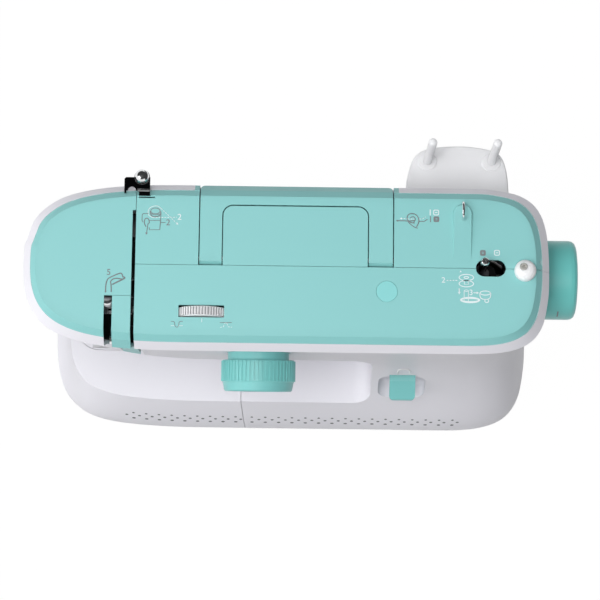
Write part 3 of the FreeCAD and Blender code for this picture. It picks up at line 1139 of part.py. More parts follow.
frame_bores = [
    cylinder("frame_shaft_bore", "x", (-120, "shaft_y", "shaft_z"), 8, 250),
    cylinder("frame_lower_bore", "x", (-130, "lower_y", "lower_z"), "shaft_radius + running", 230),
    cylinder("frame_needle_bore", "z", ("needle_x", "needle_y", 150), "bar_radius + running", 120),
    cylinder("frame_presser_bore", "z", ("needle_x", "presser_y", 150), "bar_radius + running", 120),
    cylinder("frame_lifter_bore", "x", (-140, "lifter_y", "lifter_z"), 2.5, 10),
    cylinder("frame_takeup_bore", "x", (-130, "takeup_y", "takeup_z"), 2, 7.5),
    cylinder("frame_tension_bore", "x", (-107, -40, 250), 2.5, 10),
    cylinder("frame_motor_bore", "x", (110, "motor_y", "motor_z"), "motor_radius", 40),
    cylinder("frame_hook_bore", "z", ("hook_x", "hook_y", 10), "2.5 + running", 12),
]
frame_bores += [
    cylinder(f"frame_screw_bore_{index}", "z", (x, y, 0), 1.8, 30)
    for index, (x, y) in enumerate(screw_spots)]
keep(cut("main_frame", frame_solid, *frame_bores))

doc.recompute()
for thing in doc.Objects:
    faults = [state for state in thing.State if state in ("Invalid", "Error")]
    if faults:
        raise RuntimeError(f"{thing.Label}: {faults}")
for thing in nodes:
    shape = thing.Shape
    if shape.isNull() or not shape.isValid() or not shape.Solids:
        raise RuntimeError(f"{thing.Label}: no valid solid")
    shape.exportStep(f"parts/{thing.Label}.step")
print(len(nodes), "nodes")
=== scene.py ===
import bpy
import bmesh
import math
from mathutils import Matrix, Vector
from mathutils.bvhtree import BVHTree


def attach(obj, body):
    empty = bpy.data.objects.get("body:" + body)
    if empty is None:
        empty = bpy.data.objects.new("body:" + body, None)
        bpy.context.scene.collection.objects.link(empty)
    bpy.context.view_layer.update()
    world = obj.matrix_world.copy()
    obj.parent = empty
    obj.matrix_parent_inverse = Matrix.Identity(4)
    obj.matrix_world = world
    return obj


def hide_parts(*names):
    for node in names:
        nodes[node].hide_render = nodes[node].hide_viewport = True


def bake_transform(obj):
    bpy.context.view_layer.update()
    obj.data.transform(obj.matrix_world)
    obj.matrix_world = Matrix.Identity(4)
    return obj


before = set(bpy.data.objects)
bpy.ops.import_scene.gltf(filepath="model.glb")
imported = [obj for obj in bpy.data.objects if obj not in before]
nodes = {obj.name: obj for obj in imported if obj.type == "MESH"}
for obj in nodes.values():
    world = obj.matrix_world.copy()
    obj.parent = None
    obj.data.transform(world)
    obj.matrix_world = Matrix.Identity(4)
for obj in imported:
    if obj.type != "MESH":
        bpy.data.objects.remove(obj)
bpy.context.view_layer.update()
mm = 0.001
print("frame loaded:", len(nodes), "nodes")


# short ways to make objects, meshes and shader nodes

def addToScene(name, data):
    thing = bpy.data.objects.new(name, data)
    bpy.context.scene.collection.objects.link(thing)
    return thing


# the finished mesh of a bmesh, in one material
def meshOf(bm, name, mat):
    mesh = bpy.data.meshes.new(name)
    bm.to_mesh(mesh)
    bm.free()
    mesh.materials.append(mat)
    return mesh


def newMaterial(name):
    mat = bpy.data.materials.new(name)
    mat.use_nodes = True
    tree = mat.node_tree
    tree.nodes.clear()
    return mat, tree, tree.nodes.new("ShaderNodeOutputMaterial")


# a socket takes another node's output or a fixed value
def feed(tree, value, socket):
    if isinstance(value, bpy.types.NodeSocket):
        tree.links.new(value, socket)
    else:
        socket.default_value = value


def mathIn(tree, operation, *values):
    node = tree.nodes.new("ShaderNodeMath")
    node.operation = operation
    for value, socket in zip(values, node.inputs):
        feed(tree, value, socket)
    return node.outputs[0]


def vectorIn(tree, operation, *values):
    node = tree.nodes.new("ShaderNodeVectorMath")
    node.operation = operation
    for value, socket in zip(values, node.inputs):
        feed(tree, value, socket)
    return node.outputs[0]


# blend of two colours or two vectors
def mixIn(tree, kind, factor, first, second):
    mix = tree.nodes.new("ShaderNodeMix")
    mix.data_type = kind
    for label, value in (("Factor", factor), ("A", first), ("B", second)):
        feed(tree, value, mix.inputs[label])
    return mix.outputs["Result"]


# x, y and z of a vector
def axesOf(tree, vector):
    parts = tree.nodes.new("ShaderNodeSeparateXYZ")
    tree.links.new(vector, parts.inputs[0])
    return parts.outputs


def objectPlace(tree):
    return tree.nodes.new("ShaderNodeTexCoord").outputs["Object"]


# masks, which are 1 where they hold and 0 elsewhere

def over(tree, value, limit):
    return mathIn(tree, "GREATER_THAN", value, limit)


def under(tree, value, limit):
    return mathIn(tree, "LESS_THAN", value, limit)


def within(tree, value, middle, half):
    return under(tree, mathIn(tree, "ABSOLUTE", mathIn(tree, "SUBTRACT", value, middle)), half)


def allOf(tree, *masks):
    whole = masks[0]
    for mask in masks[1:]:
        whole = mathIn(tree, "MULTIPLY", whole, mask)
    return whole


# inside an upright box given by middle and half width along x and y
def insideBox(tree, box):
    place = axesOf(tree, objectPlace(tree))
    return allOf(tree, *[within(tree, place[axis], *span) for axis, span in zip("XY", box)])


# where the plain white surroundings show
def whiteRays(tree):
    path = tree.nodes.new("ShaderNodeLightPath")
    seen = path.outputs["Is Camera Ray"]
    for ray in ("Is Glossy Ray", "Is Transmission Ray"):
        seen = mathIn(tree, "MAXIMUM", seen, path.outputs[ray])
    return seen


# camera and studio

cameraSet = {
    "spot": (-1.5, -360.0, 2113.9), "aim": (-1.5, -37.5, 285.0),  # millimetres
    "roll": 0.75, "lens": 156, "sensor": 36, "clipEnd": 30,
}
lampSet = {
    "sideLamp": {"spot": (-2.0, -0.45, 1.15), "size": 1.2, "watts": 14},
    "topLamp": {"spot": (-0.38, -0.45, 2.2), "size": 1.2, "watts": 30},
}
lampAim = (0, 0, 0.15)
stageSet = {
    "floorSize": 4.0, "floorColour": (0.42, 0.42, 0.42), "whiteShare": 0.96, "glow": 1.03,
    "coverReach": 0.03, "coverLimit": 0.4,
}
skySet = {"tint": (0.95, 0.965, 1.0), "level": 0.23, "rise": 0.20, "side": -0.14}
flagSet = {
    "height": 1.1, "half": 1.7, "gap": 0.02, "dark": 0.05, "bright": 1.6,
    "window": ((-0.85, 0.4), (-0.45, 0.5)),
}


def lookAt(spot, aim):
    turn = (aim - spot).to_track_quat("-Z", "Y").to_matrix().to_4x4()
    return Matrix.Translation(spot) @ turn


def makeCamera():
    data = bpy.data.cameras.new("studioCamera")
    data.lens = cameraSet["lens"]
    data.sensor_width = cameraSet["sensor"]
    data.clip_end = cameraSet["clipEnd"]
    camera = addToScene("studioCamera", data)
    view = lookAt(Vector(cameraSet["spot"]) * mm, Vector(cameraSet["aim"]) * mm)
    camera.matrix_world = view @ Matrix.Rotation(math.radians(cameraSet["roll"]), 4, "Z")
    bpy.context.scene.camera = camera


def makeLamps():
    for name, lamp in lampSet.items():
        data = bpy.data.lights.new(name, "AREA")
        data.size = lamp["size"]
        data.energy = lamp["watts"]
        light = addToScene(name, data)
        light.matrix_world = lookAt(Vector(lamp["spot"]), Vector(lampAim))


# shows the second shader where the factor is 1, the first elsewhere
def mixShaders(tree, out, factor, first, second):
    mix = tree.nodes.new("ShaderNodeMixShader")
    tree.links.new(factor, mix.inputs["Fac"])
    tree.links.new(first.outputs[0], mix.inputs[1])
    tree.links.new(second.outputs[0], mix.inputs[2])
    tree.links.new(mix.outputs[0], out.inputs["Surface"])


def makeWorld():
    world = bpy.data.worlds.new("softRoom")
    world.use_nodes = True
    tree = world.node_tree
    tree.nodes.clear()
    out = tree.nodes.new("ShaderNodeOutputWorld")
    sky = tree.nodes.new("ShaderNodeBackground")
    sky.inputs["Color"].default_value = (*skySet["tint"], 1)
    way = axesOf(tree, tree.nodes.new("ShaderNodeTexCoord").outputs["Generated"])
    strength = mathIn(tree, "MULTIPLY_ADD", way["Z"], skySet["rise"], skySet["level"])
    strength = mathIn(tree, "MULTIPLY_ADD", way["X"], skySet["side"], strength)
    tree.links.new(strength, sky.inputs["Strength"])
    plain = tree.nodes.new("ShaderNodeBackground")
    plain.inputs["Color"].default_value = (1, 1, 1, 1)
    mixShaders(tree, out, whiteRays(tree), sky, plain)
    bpy.context.scene.world = world


def makeFloor():
    mat, tree, out = newMaterial("floorPaper")
    paper = tree.nodes.new("ShaderNodeBsdfDiffuse")
    paper.inputs["Color"].default_value = (*stageSet["floorColour"], 1)
    glow = tree.nodes.new("ShaderNodeEmission")
    glow.inputs["Strength"].default_value = stageSet["glow"]
    # the floor under the base, seen only through gaps, keeps its own shade
    cover = tree.nodes.new("ShaderNodeAmbientOcclusion")
    cover.inputs["Distance"].default_value = stageSet["coverReach"]
    clear = over(tree, cover.outputs["AO"], stageSet["coverLimit"])
    share = mathIn(tree, "MULTIPLY", whiteRays(tree), stageSet["whiteShare"])
    mixShaders(tree, out, allOf(tree, share, clear), paper, glow)
    bm = bmesh.new()
    bmesh.ops.create_grid(bm, x_segments=1, y_segments=1, size=stageSet["floorSize"])
    mesh = meshOf(bm, "floor", mat)
    addToScene("floor", mesh)


# dark flag overhead, hung down at its right and far sides, with one bright window; only mirror rays see it
def makeFlag():
    mat, tree, out = newMaterial("flagCloth")
    glow = tree.nodes.new("ShaderNodeEmission")
    inside = insideBox(tree, flagSet["window"])
    strength = mathIn(tree, "MULTIPLY_ADD", inside, flagSet["bright"] - flagSet["dark"], flagSet["dark"])
    tree.links.new(strength, glow.inputs["Strength"])
    tree.links.new(glow.outputs[0], out.inputs["Surface"])
    bm = bmesh.new()
    bmesh.ops.create_grid(bm, x_segments=1, y_segments=1, size=flagSet["half"])
    hung = [edge for edge in bm.edges if max(vert.co.x + vert.co.y for vert in edge.verts) > flagSet["half"]]
    sides = bmesh.ops.extrude_edge_only(bm, edges=hung)
    low = [item for item in sides["geom"] if isinstance(item, bmesh.types.BMVert)]
    bmesh.ops.translate(bm, vec=(0, 0, flagSet["gap"] - flagSet["height"]), verts=low)
    bmesh.ops.translate(bm, vec=(0, 0, flagSet["height"]), verts=bm.verts)
    flag = addToScene("studioFlag", meshOf(bm, "studioFlag", mat))
    flag.visible_camera = False
    flag.visible_diffuse = False
    flag.visible_transmission = False
    flag.visible_shadow = False


makeCamera()
makeLamps()
makeWorld()
makeFloor()
makeFlag()
bpy.context.scene.view_settings.view_transform = "Standard"
print("camera and studio ready")


# shared surface effects; each noise is given by scale and detail

noiseMean = 0.5
surfaceSockets = [("Colour", "NodeSocketColor"), ("Rough", "NodeSocketFloat"), ("Height", "NodeSocketFloat")]
mouldSet = {
    "drift": (14.0, 3.0), "patch": (60.0, 2.0), "patchRough": 0.16, "grainDetail": 1.0, "grainTone": 0.02,
}
wearSet = {
    "lineDetail": 2.0, "lineTone": 0.16, "cloud": (90.0, 3.0), "cloudRough": 0.18,
    "scratch": (45.0, 4.0), "scratchWidth": 0.004, "scratchRough": 0.08, "scratchHeight": -0.6,
}


def newGroup(name, inputs, outputs):
    group = bpy.data.node_groups.new(name, "ShaderNodeTree")
    for label, kind, value in inputs:
        group.interface.new_socket(label, in_out="INPUT", socket_type=kind).default_value = value
    for label, kind in outputs:
        group.interface.new_socket(label, in_out="OUTPUT", socket_type=kind)
    start = group.nodes.new("NodeGroupInput")
    end = group.nodes.new("NodeGroupOutput")
    return group, start.outputs, end.inputs


def noiseIn(tree, vector, scale, detail):
    noise = tree.nodes.new("ShaderNodeTexNoise")
    noise.inputs["Detail"].default_value = detail
    feed(tree, scale, noise.inputs["Scale"])
    tree.links.new(vector, noise.inputs["Vector"])
    return noise.outputs["Fac"]


# noise that swings about zero
def centred(tree, noise):
    return mathIn(tree, "SUBTRACT", noise, noiseMean)


# colour times (1 + shift)
def tintIn(tree, colour, shift):
    return vectorIn(tree, "MULTIPLY", colour, mathIn(tree, "ADD", shift, 1.0))


# moulded plastic: slow tone drift, faint gloss patches, fine spark grain
def makeMouldedSkin():
    group, start, end = newGroup(
        "mouldedSkin",
        [("Colour", "NodeSocketColor", (0.8, 0.8, 0.8, 1)), ("Tone", "NodeSocketFloat", 0.03),
         ("Rough", "NodeSocketFloat", 0.4), ("Grain", "NodeSocketFloat", 1400.0)],
        surfaceSockets)
    place = objectPlace(group)
    drift = centred(group, noiseIn(group, place, *mouldSet["drift"]))
    patch = centred(group, noiseIn(group, place, *mouldSet["patch"]))
    grain = noiseIn(group, place, start["Grain"], mouldSet["grainDetail"])
    shift = mathIn(group, "MULTIPLY", drift, start["Tone"])
    shift = mathIn(group, "MULTIPLY_ADD", centred(group, grain), mouldSet["grainTone"], shift)
    rough = mathIn(group, "MULTIPLY_ADD", patch, mouldSet["patchRough"], start["Rough"])
    group.links.new(tintIn(group, start["Colour"], shift), end["Colour"])
    group.links.new(rough, end["Rough"])
    group.links.new(grain, end["Height"])
    return group


# worked metal: drawn lines along one axis and a few wandering scratches
def makeWorkedMetal():
    group, start, end = newGroup(
        "workedMetal",
        [("Colour", "NodeSocketColor", (0.6, 0.6, 0.6, 1)), ("Rough", "NodeSocketFloat", 0.3),
         ("Stretch", "NodeSocketVector", (1, 1, 1)), ("Lines", "NodeSocketFloat", 900.0)],
        surfaceSockets)
    place = objectPlace(group)
    drawn = vectorIn(group, "MULTIPLY", place, start["Stretch"])
    lines = noiseIn(group, drawn, start["Lines"], wearSet["lineDetail"])
    cloud = centred(group, noiseIn(group, place, *wearSet["cloud"]))
    ridge = mathIn(group, "ABSOLUTE", centred(group, noiseIn(group, place, *wearSet["scratch"])))
    scratch = under(group, ridge, wearSet["scratchWidth"])
    shift = mathIn(group, "MULTIPLY", centred(group, lines), wearSet["lineTone"])
    rough = mathIn(group, "MULTIPLY_ADD", cloud, wearSet["cloudRough"], start["Rough"])
    rough = mathIn(group, "MULTIPLY_ADD", scratch, wearSet["scratchRough"], rough)
    height = mathIn(group, "MULTIPLY_ADD", scratch, wearSet["scratchHeight"], lines)
    group.links.new(tintIn(group, start["Colour"], shift), end["Colour"])
    group.links.new(rough, end["Rough"])
    group.links.new(height, end["Height"])
    return group


# turns a rounded edge into a flat top and one flat bevel: slopes past the limit share one tilt, in radians
def makeCrispBevel():
    group, start, end = newGroup(
        "crispBevel",
        [("Limit", "NodeSocketFloat", 0.86), ("Tilt", "NodeSocketFloat", 0.82)],
        [("Normal", "NodeSocketVector")])
    facing = group.nodes.new("ShaderNodeTexCoord").outputs["Normal"]
    upward = axesOf(group, facing)["Z"]
    tiltRise = mathIn(group, "COSINE", start["Tilt"])
    outward = vectorIn(group, "NORMALIZE", vectorIn(group, "MULTIPLY", facing, (1, 1, 0)))
    lean = vectorIn(group, "MULTIPLY", outward, mathIn(group, "SINE", start["Tilt"]))
    bevel = vectorIn(group, "ADD", lean, vectorIn(group, "MULTIPLY", (0, 0, 1), tiltRise))
    edge = mixIn(group, "VECTOR", over(group, upward, start["Limit"]), bevel, (0, 0, 1))
    edge = mixIn(group, "VECTOR", under(group, upward, tiltRise), edge, facing)
    turned = group.nodes.new("ShaderNodeVectorTransform")
    turned.vector_type = "NORMAL"
    turned.convert_from = "OBJECT"
    turned.convert_to = "WORLD"
    group.links.new(edge, turned.inputs[0])
    group.links.new(turned.outputs[0], end["Normal"])
    return group


mouldedSkin = makeMouldedSkin()
crispBevel = makeCrispBevel()
workedMetal = makeWorkedMetal()


# materials of the pieces

bumpDepth = 0.0004
plasticShine = {
    "IOR": 1.5, "Specular IOR Level": 0.35, "Subsurface Radius": (1, 1, 1), "Subsurface Scale": 0.004,
}
plasticSet = {
    "whiteMoulding": {
        "colour": (0.82, 0.81, 0.855), "rough": 0.42, "tone": 0.03, "grain": 1500, "bump": 0.05},
    "tealKnob": {
        "colour": (0.205, 0.56, 0.545), "rough": 0.36, "tone": 0.04, "grain": 1700, "bump": 0.05},
    "tealWheel": {
        "colour": (0.16, 0.575, 0.54), "rough": 0.33, "tone": 0.04, "grain": 1700, "bump": 0.05},
    "whiteKnob": {
        "colour": (0.90, 0.90, 0.91), "rough": 0.33, "tone": 0.03, "grain": 1700, "bump": 0.04, "milk": 0.5},
    "greyMoulding": {
        "colour": (0.16, 0.165, 0.175), "rough": 0.5, "tone": 0.08, "grain": 900, "bump": 0.12},
    "blackMoulding": {
        "colour": (0.012, 0.012, 0.013), "rough": 0.42, "tone": 0.10, "grain": 900, "bump": 0.12},
    "blackRubber": {
        "colour": (0.016, 0.016, 0.017), "rough": 0.72, "tone": 0.15, "grain": 700, "bump": 0.25},
    "motorPaint": {
        "colour": (0.02, 0.021, 0.023), "rough": 0.38, "tone": 0.10, "grain": 500, "bump": 0.10},
    "tealInlay": {
        "colour": (0.25, 0.64, 0.63), "rough": 0.34, "tone": 0.03, "grain": 1700, "bump": 0.04},
    "greyInk": {
        "colour": (0.20, 0.21, 0.22), "rough": 0.5, "tone": 0.10, "grain": 2500, "bump": 0.05},
    "whiteInk": {
        "colour": (0.72, 0.80, 0.81), "rough": 0.5, "tone": 0.06, "grain": 2500, "bump": 0.05},
    "dotInk": {
        "colour": (0.13, 0.135, 0.15), "rough": 0.5, "tone": 0.10, "grain": 2500, "bump": 0.05},
}
lidSet = {
    "lidMoulding": {
        "colour": (0.25, 0.575, 0.565), "rough": 0.40, "tone": 0.03, "grain": 1500, "bump": 0.05},
}
clearIndex = 1.49
clearSet = {
    "clearMoulding": {
        "colour": (0.93, 0.95, 0.96), "rough": 0.12, "tone": 0.02, "grain": 900, "bump": 0.02, "clear": 1.0},
    "frostedMoulding": {
        "colour": (0.86, 0.86, 0.88), "rough": 0.35, "tone": 0.02, "grain": 900, "bump": 0.02, "clear": 0.35},
}
metalSet = {
    "drawnSteel": {
        "colour": (0.55, 0.56, 0.57), "rough": 0.30, "stretch": (1, 1, 0.06), "lines": 1500, "bump": 0.06},
    "plateSteel": {
        "colour": (0.62, 0.63, 0.64), "rough": 0.28, "stretch": (0.05, 1, 1), "lines": 1500, "bump": 0.06,
        "metallic": 0.5},
    "brightChrome": {
        "colour": (0.78, 0.79, 0.80), "rough": 0.09, "stretch": (1, 1, 1), "lines": 600, "bump": 0.01},
    "screwNickel": {
        "colour": (0.56, 0.55, 0.51), "rough": 0.30, "stretch": (1, 1, 1), "lines": 600, "bump": 0.03,
        "metallic": 0.5},
    "bushBronze": {
        "colour": (0.48, 0.30, 0.12), "rough": 0.36, "stretch": (0.05, 1, 1), "lines": 900, "bump": 0.08},
    # near black colour painted as shade for the frame seen through the slots; the casting itself is aluminium
    "frameCasting": {
        "colour": (0.05, 0.051, 0.054), "rough": 0.5, "stretch": (1, 1, 1), "lines": 420, "bump": 0.25},
}


# a material whose shader takes colour, roughness and bump from a shared effect
def startMaterial(name, group, values, bump):
    mat, tree, out = newMaterial(name)
    shader = tree.nodes.new("ShaderNodeBsdfPrincipled")
    tree.links.new(shader.outputs["BSDF"], out.inputs["Surface"])
    effect = tree.nodes.new("ShaderNodeGroup")
    effect.node_tree = group
    for label, value in values.items():
        effect.inputs[label].default_value = value
    rise = tree.nodes.new("ShaderNodeBump")
    rise.inputs["Strength"].default_value = bump
    rise.inputs["Distance"].default_value = bumpDepth
    tree.links.new(effect.outputs["Height"], rise.inputs["Height"])
    tree.links.new(rise.outputs["Normal"], shader.inputs["Normal"])
    tree.links.new(effect.outputs["Colour"], shader.inputs["Base Color"])
    tree.links.new(effect.outputs["Rough"], shader.inputs["Roughness"])
    return mat, shader


def startMoulding(name, look):
    values = {
        "Colour": (*look["colour"], 1), "Tone": look["tone"], "Rough": look["rough"], "Grain": look["grain"]}
    return startMaterial(name, mouldedSkin, values, look["bump"])


def makePlastic(name, look):
    mat, shader = startMoulding(name, look)
    for label, value in plasticShine.items():
        shader.inputs[label].default_value = value
    shader.inputs["Subsurface Weight"].default_value = look.get("milk", 0.0)
    return mat


def makeClear(name, look):
    mat, shader = startMoulding(name, look)
    shader.inputs["Transmission Weight"].default_value = look["clear"]
    shader.inputs["IOR"].default_value = clearIndex
    return mat


def makeMetal(name, look):
    values = {
        "Colour": (*look["colour"], 1), "Rough": look["rough"], "Stretch": look["stretch"],
        "Lines": look["lines"]}
    mat, shader = startMaterial(name, workedMetal, values, look["bump"])
    shader.inputs["Metallic"].default_value = look.get("metallic", 1.0)
    return mat


# moulded lid, with its rounded top edge drawn as a crisp bevel
def makeLid(name, look):
    mat = makePlastic(name, look)
    tree = mat.node_tree
    rise = next(node for node in tree.nodes if node.bl_idname == "ShaderNodeBump")
    bevel = tree.nodes.new("ShaderNodeGroup")
    bevel.node_tree = crispBevel
    tree.links.new(bevel.outputs["Normal"], rise.inputs["Normal"])
    return mat


# gives a finished material a colour that changes over the surface
def recolour(tree, colour):
    effect = next(node for node in tree.nodes if node.bl_idname == "ShaderNodeGroup")
    tree.links.new(colour, effect.inputs["Colour"])


# painted shade: what the slots show inside the covers is coloured near black, and the lip in the joint under
# the lid is painted a darker shade colour
def makeSlotShade(name, look):
    mat = look["finish"](name, look["skin"])
    tree = mat.node_tree
    facing = axesOf(tree, tree.nodes.new("ShaderNodeNewGeometry").outputs["Normal"])
    place = axesOf(tree, objectPlace(tree))
    upward = over(tree, facing["Z"], slotShadeSet["facing"])
    floor = allOf(tree, upward, under(tree, place["Y"], slotShadeSet["back"]))
    inward = under(tree, facing["Y"], slotShadeSet["inward"])
    walls = allOf(tree, inward, insideBox(tree, slotShadeSet["threadSlot"]))
    inside = allOf(
        tree, mathIn(tree, "MAXIMUM", floor, walls),
        over(tree, place["Z"], slotShadeSet["low"]), under(tree, place["Z"], slotShadeSet["high"]))
    lip = allOf(tree, upward, over(tree, place["Z"], slotShadeSet["lip"]))
    outer = mixIn(tree, "RGBA", lip, (*look["skin"]["colour"], 1), (*look["lipShadeColour"], 1))
    recolour(tree, mixIn(tree, "RGBA", inside, outer, (*slotShadeSet["colour"], 1)))
    return mat


# painted shade in the grooves between the ribs of a wheel: all that lies nearer to its axis than the limit
# takes the darker shade colour
def makeGrooveShade(name, look):
    mat = makePlastic(name, look["skin"])
    tree = mat.node_tree
    local = tree.nodes.new("ShaderNodeMapping")
    local.vector_type = "TEXTURE"
    local.inputs["Location"].default_value = Vector(look["spot"]) * mm
    local.inputs["Rotation"].default_value = (math.radians(look["turn"]), 0, 0)
    tree.links.new(objectPlace(tree), local.inputs["Vector"])
    place = axesOf(tree, local.outputs[0])
    across = mathIn(tree, "MULTIPLY", place["X"], place["X"])
    radius = mathIn(tree, "SQRT", mathIn(tree, "MULTIPLY_ADD", place["Y"], place["Y"], across))
    first, last = look["span"]
    ribs = within(tree, place["Z"], (first + last) / 2 * mm, (last - first) / 2 * mm)
    groove = allOf(tree, ribs, under(tree, radius, look["groove"] * mm))
    recolour(tree, mixIn(tree, "RGBA", groove, (*look["skin"]["colour"], 1), (*look["shade"], 1)))
    return mat


# painted reflection on chrome: coloured near black below a height, standing for the dark surroundings it
# reflects, bright chrome above
def makeDarkReflection(name, look):
    mat = makeMetal(name, look["skin"])
    tree = mat.node_tree
    above = over(tree, axesOf(tree, objectPlace(tree))["Z"], look["level"])
    recolour(tree, mixIn(tree, "RGBA", above, (*look["reflectedDarkColour"], 1), (*look["skin"]["colour"], 1)))
    return mat


# near black colour painted as shade inside the covers where the slots look in
slotShadeSet = {
    "low": 0.1515, "high": 0.267, "back": 0.006, "facing": 0.6, "inward": 0.2, "lip": 0.2792,
    "colour": (0.02, 0.02, 0.02), "threadSlot": ((-0.125, 0.01), (-0.0055, 0.0415)),
}
# the covers' lip colour is painted shade for the lip in the joint under the lid
coverSet = {
    "shellMoulding": {
        "finish": makePlastic, "skin": plasticSet["whiteMoulding"], "lipShadeColour": (0.30, 0.50, 0.50)},
    "tongueMoulding": {
        "finish": makeLid, "skin": lidSet["lidMoulding"], "lipShadeColour": lidSet["lidMoulding"]["colour"]},
}
wheelSkin = {"colour": (0.85, 0.85, 0.86), "rough": 0.36, "tone": 0.03, "grain": 1700, "bump": 0.05}
# each wheel's shade colour is painted shade in its grooves
grooveShadeSet = {
    "whiteWheel": {
        "skin": wheelSkin, "spot": (-71.9, -46.5, 269.2), "turn": 90, "span": (-2.9, 2.9),
        "groove": 19.9, "shade": (0.42, 0.42, 0.43)},
    "ribbedDial": {
        "skin": plasticSet["tealKnob"], "spot": (-31.8, -53.4, 205.0), "turn": 97.4, "span": (16.6, 31.2),
        "groove": 27.25, "shade": (0.18, 0.52, 0.50)},
}
# the near black below the level is a painted dark reflection on the bracket plate
darkReflectionSet = {
    "bracketChrome": {
        "skin": metalSet["brightChrome"], "reflectedDarkColour": (0.035, 0.036, 0.042), "level": 0.28497},
}
finishes = [
    (makePlastic, plasticSet), (makeMetal, metalSet), (makeClear, clearSet), (makeLid, lidSet),
    (makeSlotShade, coverSet), (makeGrooveShade, grooveShadeSet), (makeDarkReflection, darkReflectionSet),
]
looks = {name: finish(name, look) for finish, lookSet in finishes for name, look in lookSet.items()}

nodeLooks = {
    "whiteMoulding": ["extension_table", "free_arm"],
    "shellMoulding": ["front_cover", "rear_cover", "face_cover"],
    "lidMoulding": ["face_top_panel", "front_top_panel", "rear_top_panel", "carry_handle"],
    "tongueMoulding": ["threading_tongue"],
    "tealKnob": ["reverse_lever"],
    "ribbedDial": ["stitch_dial"],
    "tealWheel": ["handwheel"],
    "whiteWheel": ["tension_dial"],
    "whiteKnob": ["spool_stand", "spool_pins", "winder_stopper", "presser_lifter", "thread_cutter"],
    "greyMoulding": [
        "base_pan", "pattern_cams", "bobbin_case", "upper_sprocket", "lower_sprocket", "belt_pulley",
        "motor_pulley", "winder_arm"],
    "blackMoulding": ["power_inlet", "power_switch"],
    "clearMoulding": ["lamp_lens"],
    "frostedMoulding": ["bobbin_cover"],
    "drawnSteel": [
        "needle_bar", "needle_bar_link", "presser_bar", "presser_spring", "crank_disc", "hook_drive_gear",
        "rotary_hook", "tension_discs"],
    "plateSteel": ["needle_plate", "feed_dog", "main_shaft", "lower_shaft", "hinge_pins"],
    "brightChrome": [
        "pretension_stud", "thread_loop", "winder_spindle", "needle", "needle_clamp", "presser_foot",
        "take_up_lever"],
    "screwNickel": ["cover_screws"],
    "bracketChrome": ["pretension_bracket"],
    "blackRubber": ["rubber_feet", "timing_belt", "drive_belt", "winder_tyre"],
    "motorPaint": ["motor"],
    "bushBronze": ["shaft_bushes"],
    "frameCasting": ["main_frame"],
}
for look, names in nodeLooks.items():
    for name in names:
        slots = nodes[name].data.materials
        slots.clear()
        slots.append(looks[look])
print("materials ready:", len(looks))


# printed figures on the flat top, in millimetres: lines, dashes and curves are width and points,
# rings width, centre and two radii, tips spot, heading and length, tiles spot, side and line width,
# text figure, spot and height

printSet = {
    "level": 285.0, "lift": 0.09, "flat": 0.1, "dash": 1.3, "gap": 0.8, "shortest": 0.3,
    "curveSteps": 6, "ringSteps": 32, "bar": (1.7, 0.6), "typeScale": 1.35, "typeGrow": 0.04,
}
greyPrint = {
    "line": [
        (0.6, [(-102.2, 24.8), (-102.4, 18.6), (-102.8, 12.4), (-110.1, 12.2), (-110.5, 14.0)]),
        (0.45, [(-102.3, 17.6), (-98.7, 17.7)]),
        (0.45, [(-110.7, 19.1), (-102.5, 19.2)]),
        (0.6, [(-111.2, 17.3), (-111.8, 12.9), (-112.2, 9.6)]),
        (0.6, [(82.8, 20.8), (87.0, 21.0), (89.3, 22.6)]),
        (0.45, [(-58.5, -54.6), (-49.9, -54.5)]),
    ],
    "dash": [],
    "curve": [
        (0.7, [(-109.9, 25.8), (-109.8, 23.6), (-108.2, 22.0), (-106.1, 21.7), (-103.8, 22.2), (-102.4, 23.7),
               (-102.3, 25.8)]),
        (0.5, [(-109.3, 24.2), (-107.5, 23.2), (-105.3, 23.1), (-102.7, 24.0)]),
        (0.5, [(-111.2, 24.1), (-114.1, 24.1), (-115.6, 23.7), (-115.7, 21.8), (-115.7, 18.4),
               (-114.9, 17.7)]),
        (0.65, [(-112.7, 14.4), (-113.7, 15.9), (-114.1, 18.2), (-113.6, 20.3), (-112.2, 20.8),
                (-110.6, 19.8), (-110.3, 16.9)]),
        (0.7, [(67.2, 21.2), (71.7, 21.4), (76.8, 20.9), (79.9, 21.6)]),
        (0.7, [(79.9, 19.6), (76.8, 20.0), (74.6, 22.2), (74.7, 25.0), (76.8, 26.6), (79.8, 26.6),
               (82.3, 24.7), (83.3, 21.7), (82.6, 18.5), (81.4, 16.9)]),
        (0.6, [(76.8, 23.4), (78.3, 24.7), (80.4, 23.7), (80.6, 21.6), (79.1, 19.9)]),
        (0.6, [(75.4, 20.4), (77.9, 18.0), (80.4, 16.4), (82.3, 15.9)]),
        (0.8, [(-140.5, -33.1), (-140.6, -28.2), (-139.3, -23.9), (-136.9, -22.6), (-130.8, -19.6),
               (-128.9, -20.0), (-128.6, -22.3)]),
        (1.0, [(-128.7, -22.3), (-125.8, -22.8), (-130.0, -24.9), (-135.9, -28.0)]),
        (0.8, [(-136.5, -33.5), (-136.5, -28.6), (-137.4, -26.0), (-135.7, -24.1), (-132.9, -23.3),
               (-129.1, -24.0)]),
        (0.45, [(-93.3, -54.2), (-91.2, -54.2), (-90.7, -55.1), (-90.5, -57.5), (-89.1, -58.6),
                (-87.8, -57.5), (-87.6, -55.0), (-87.1, -54.1), (-84.8, -54.1)]),
    ],
    "ring": [(0.55, (-106.2, 26.1), 3.6, 2.4)],
    "tip": [((-112.3, 9.6), -100, 1.1), ((-140.5, -33.2), -90, 0.9), ((67.6, 21.2), 180, 0.9)],
    "tile": [((95.7, 22.7), 4.2, 1.4), ((129.1, -1.5), 4.2, 1.4)],
    "text": [("2", (-96.9, 17.6), 4.6), ("1", (91.5, 22.4), 4.6), ("5", (-138.6, -19.2), 4.6)],
}
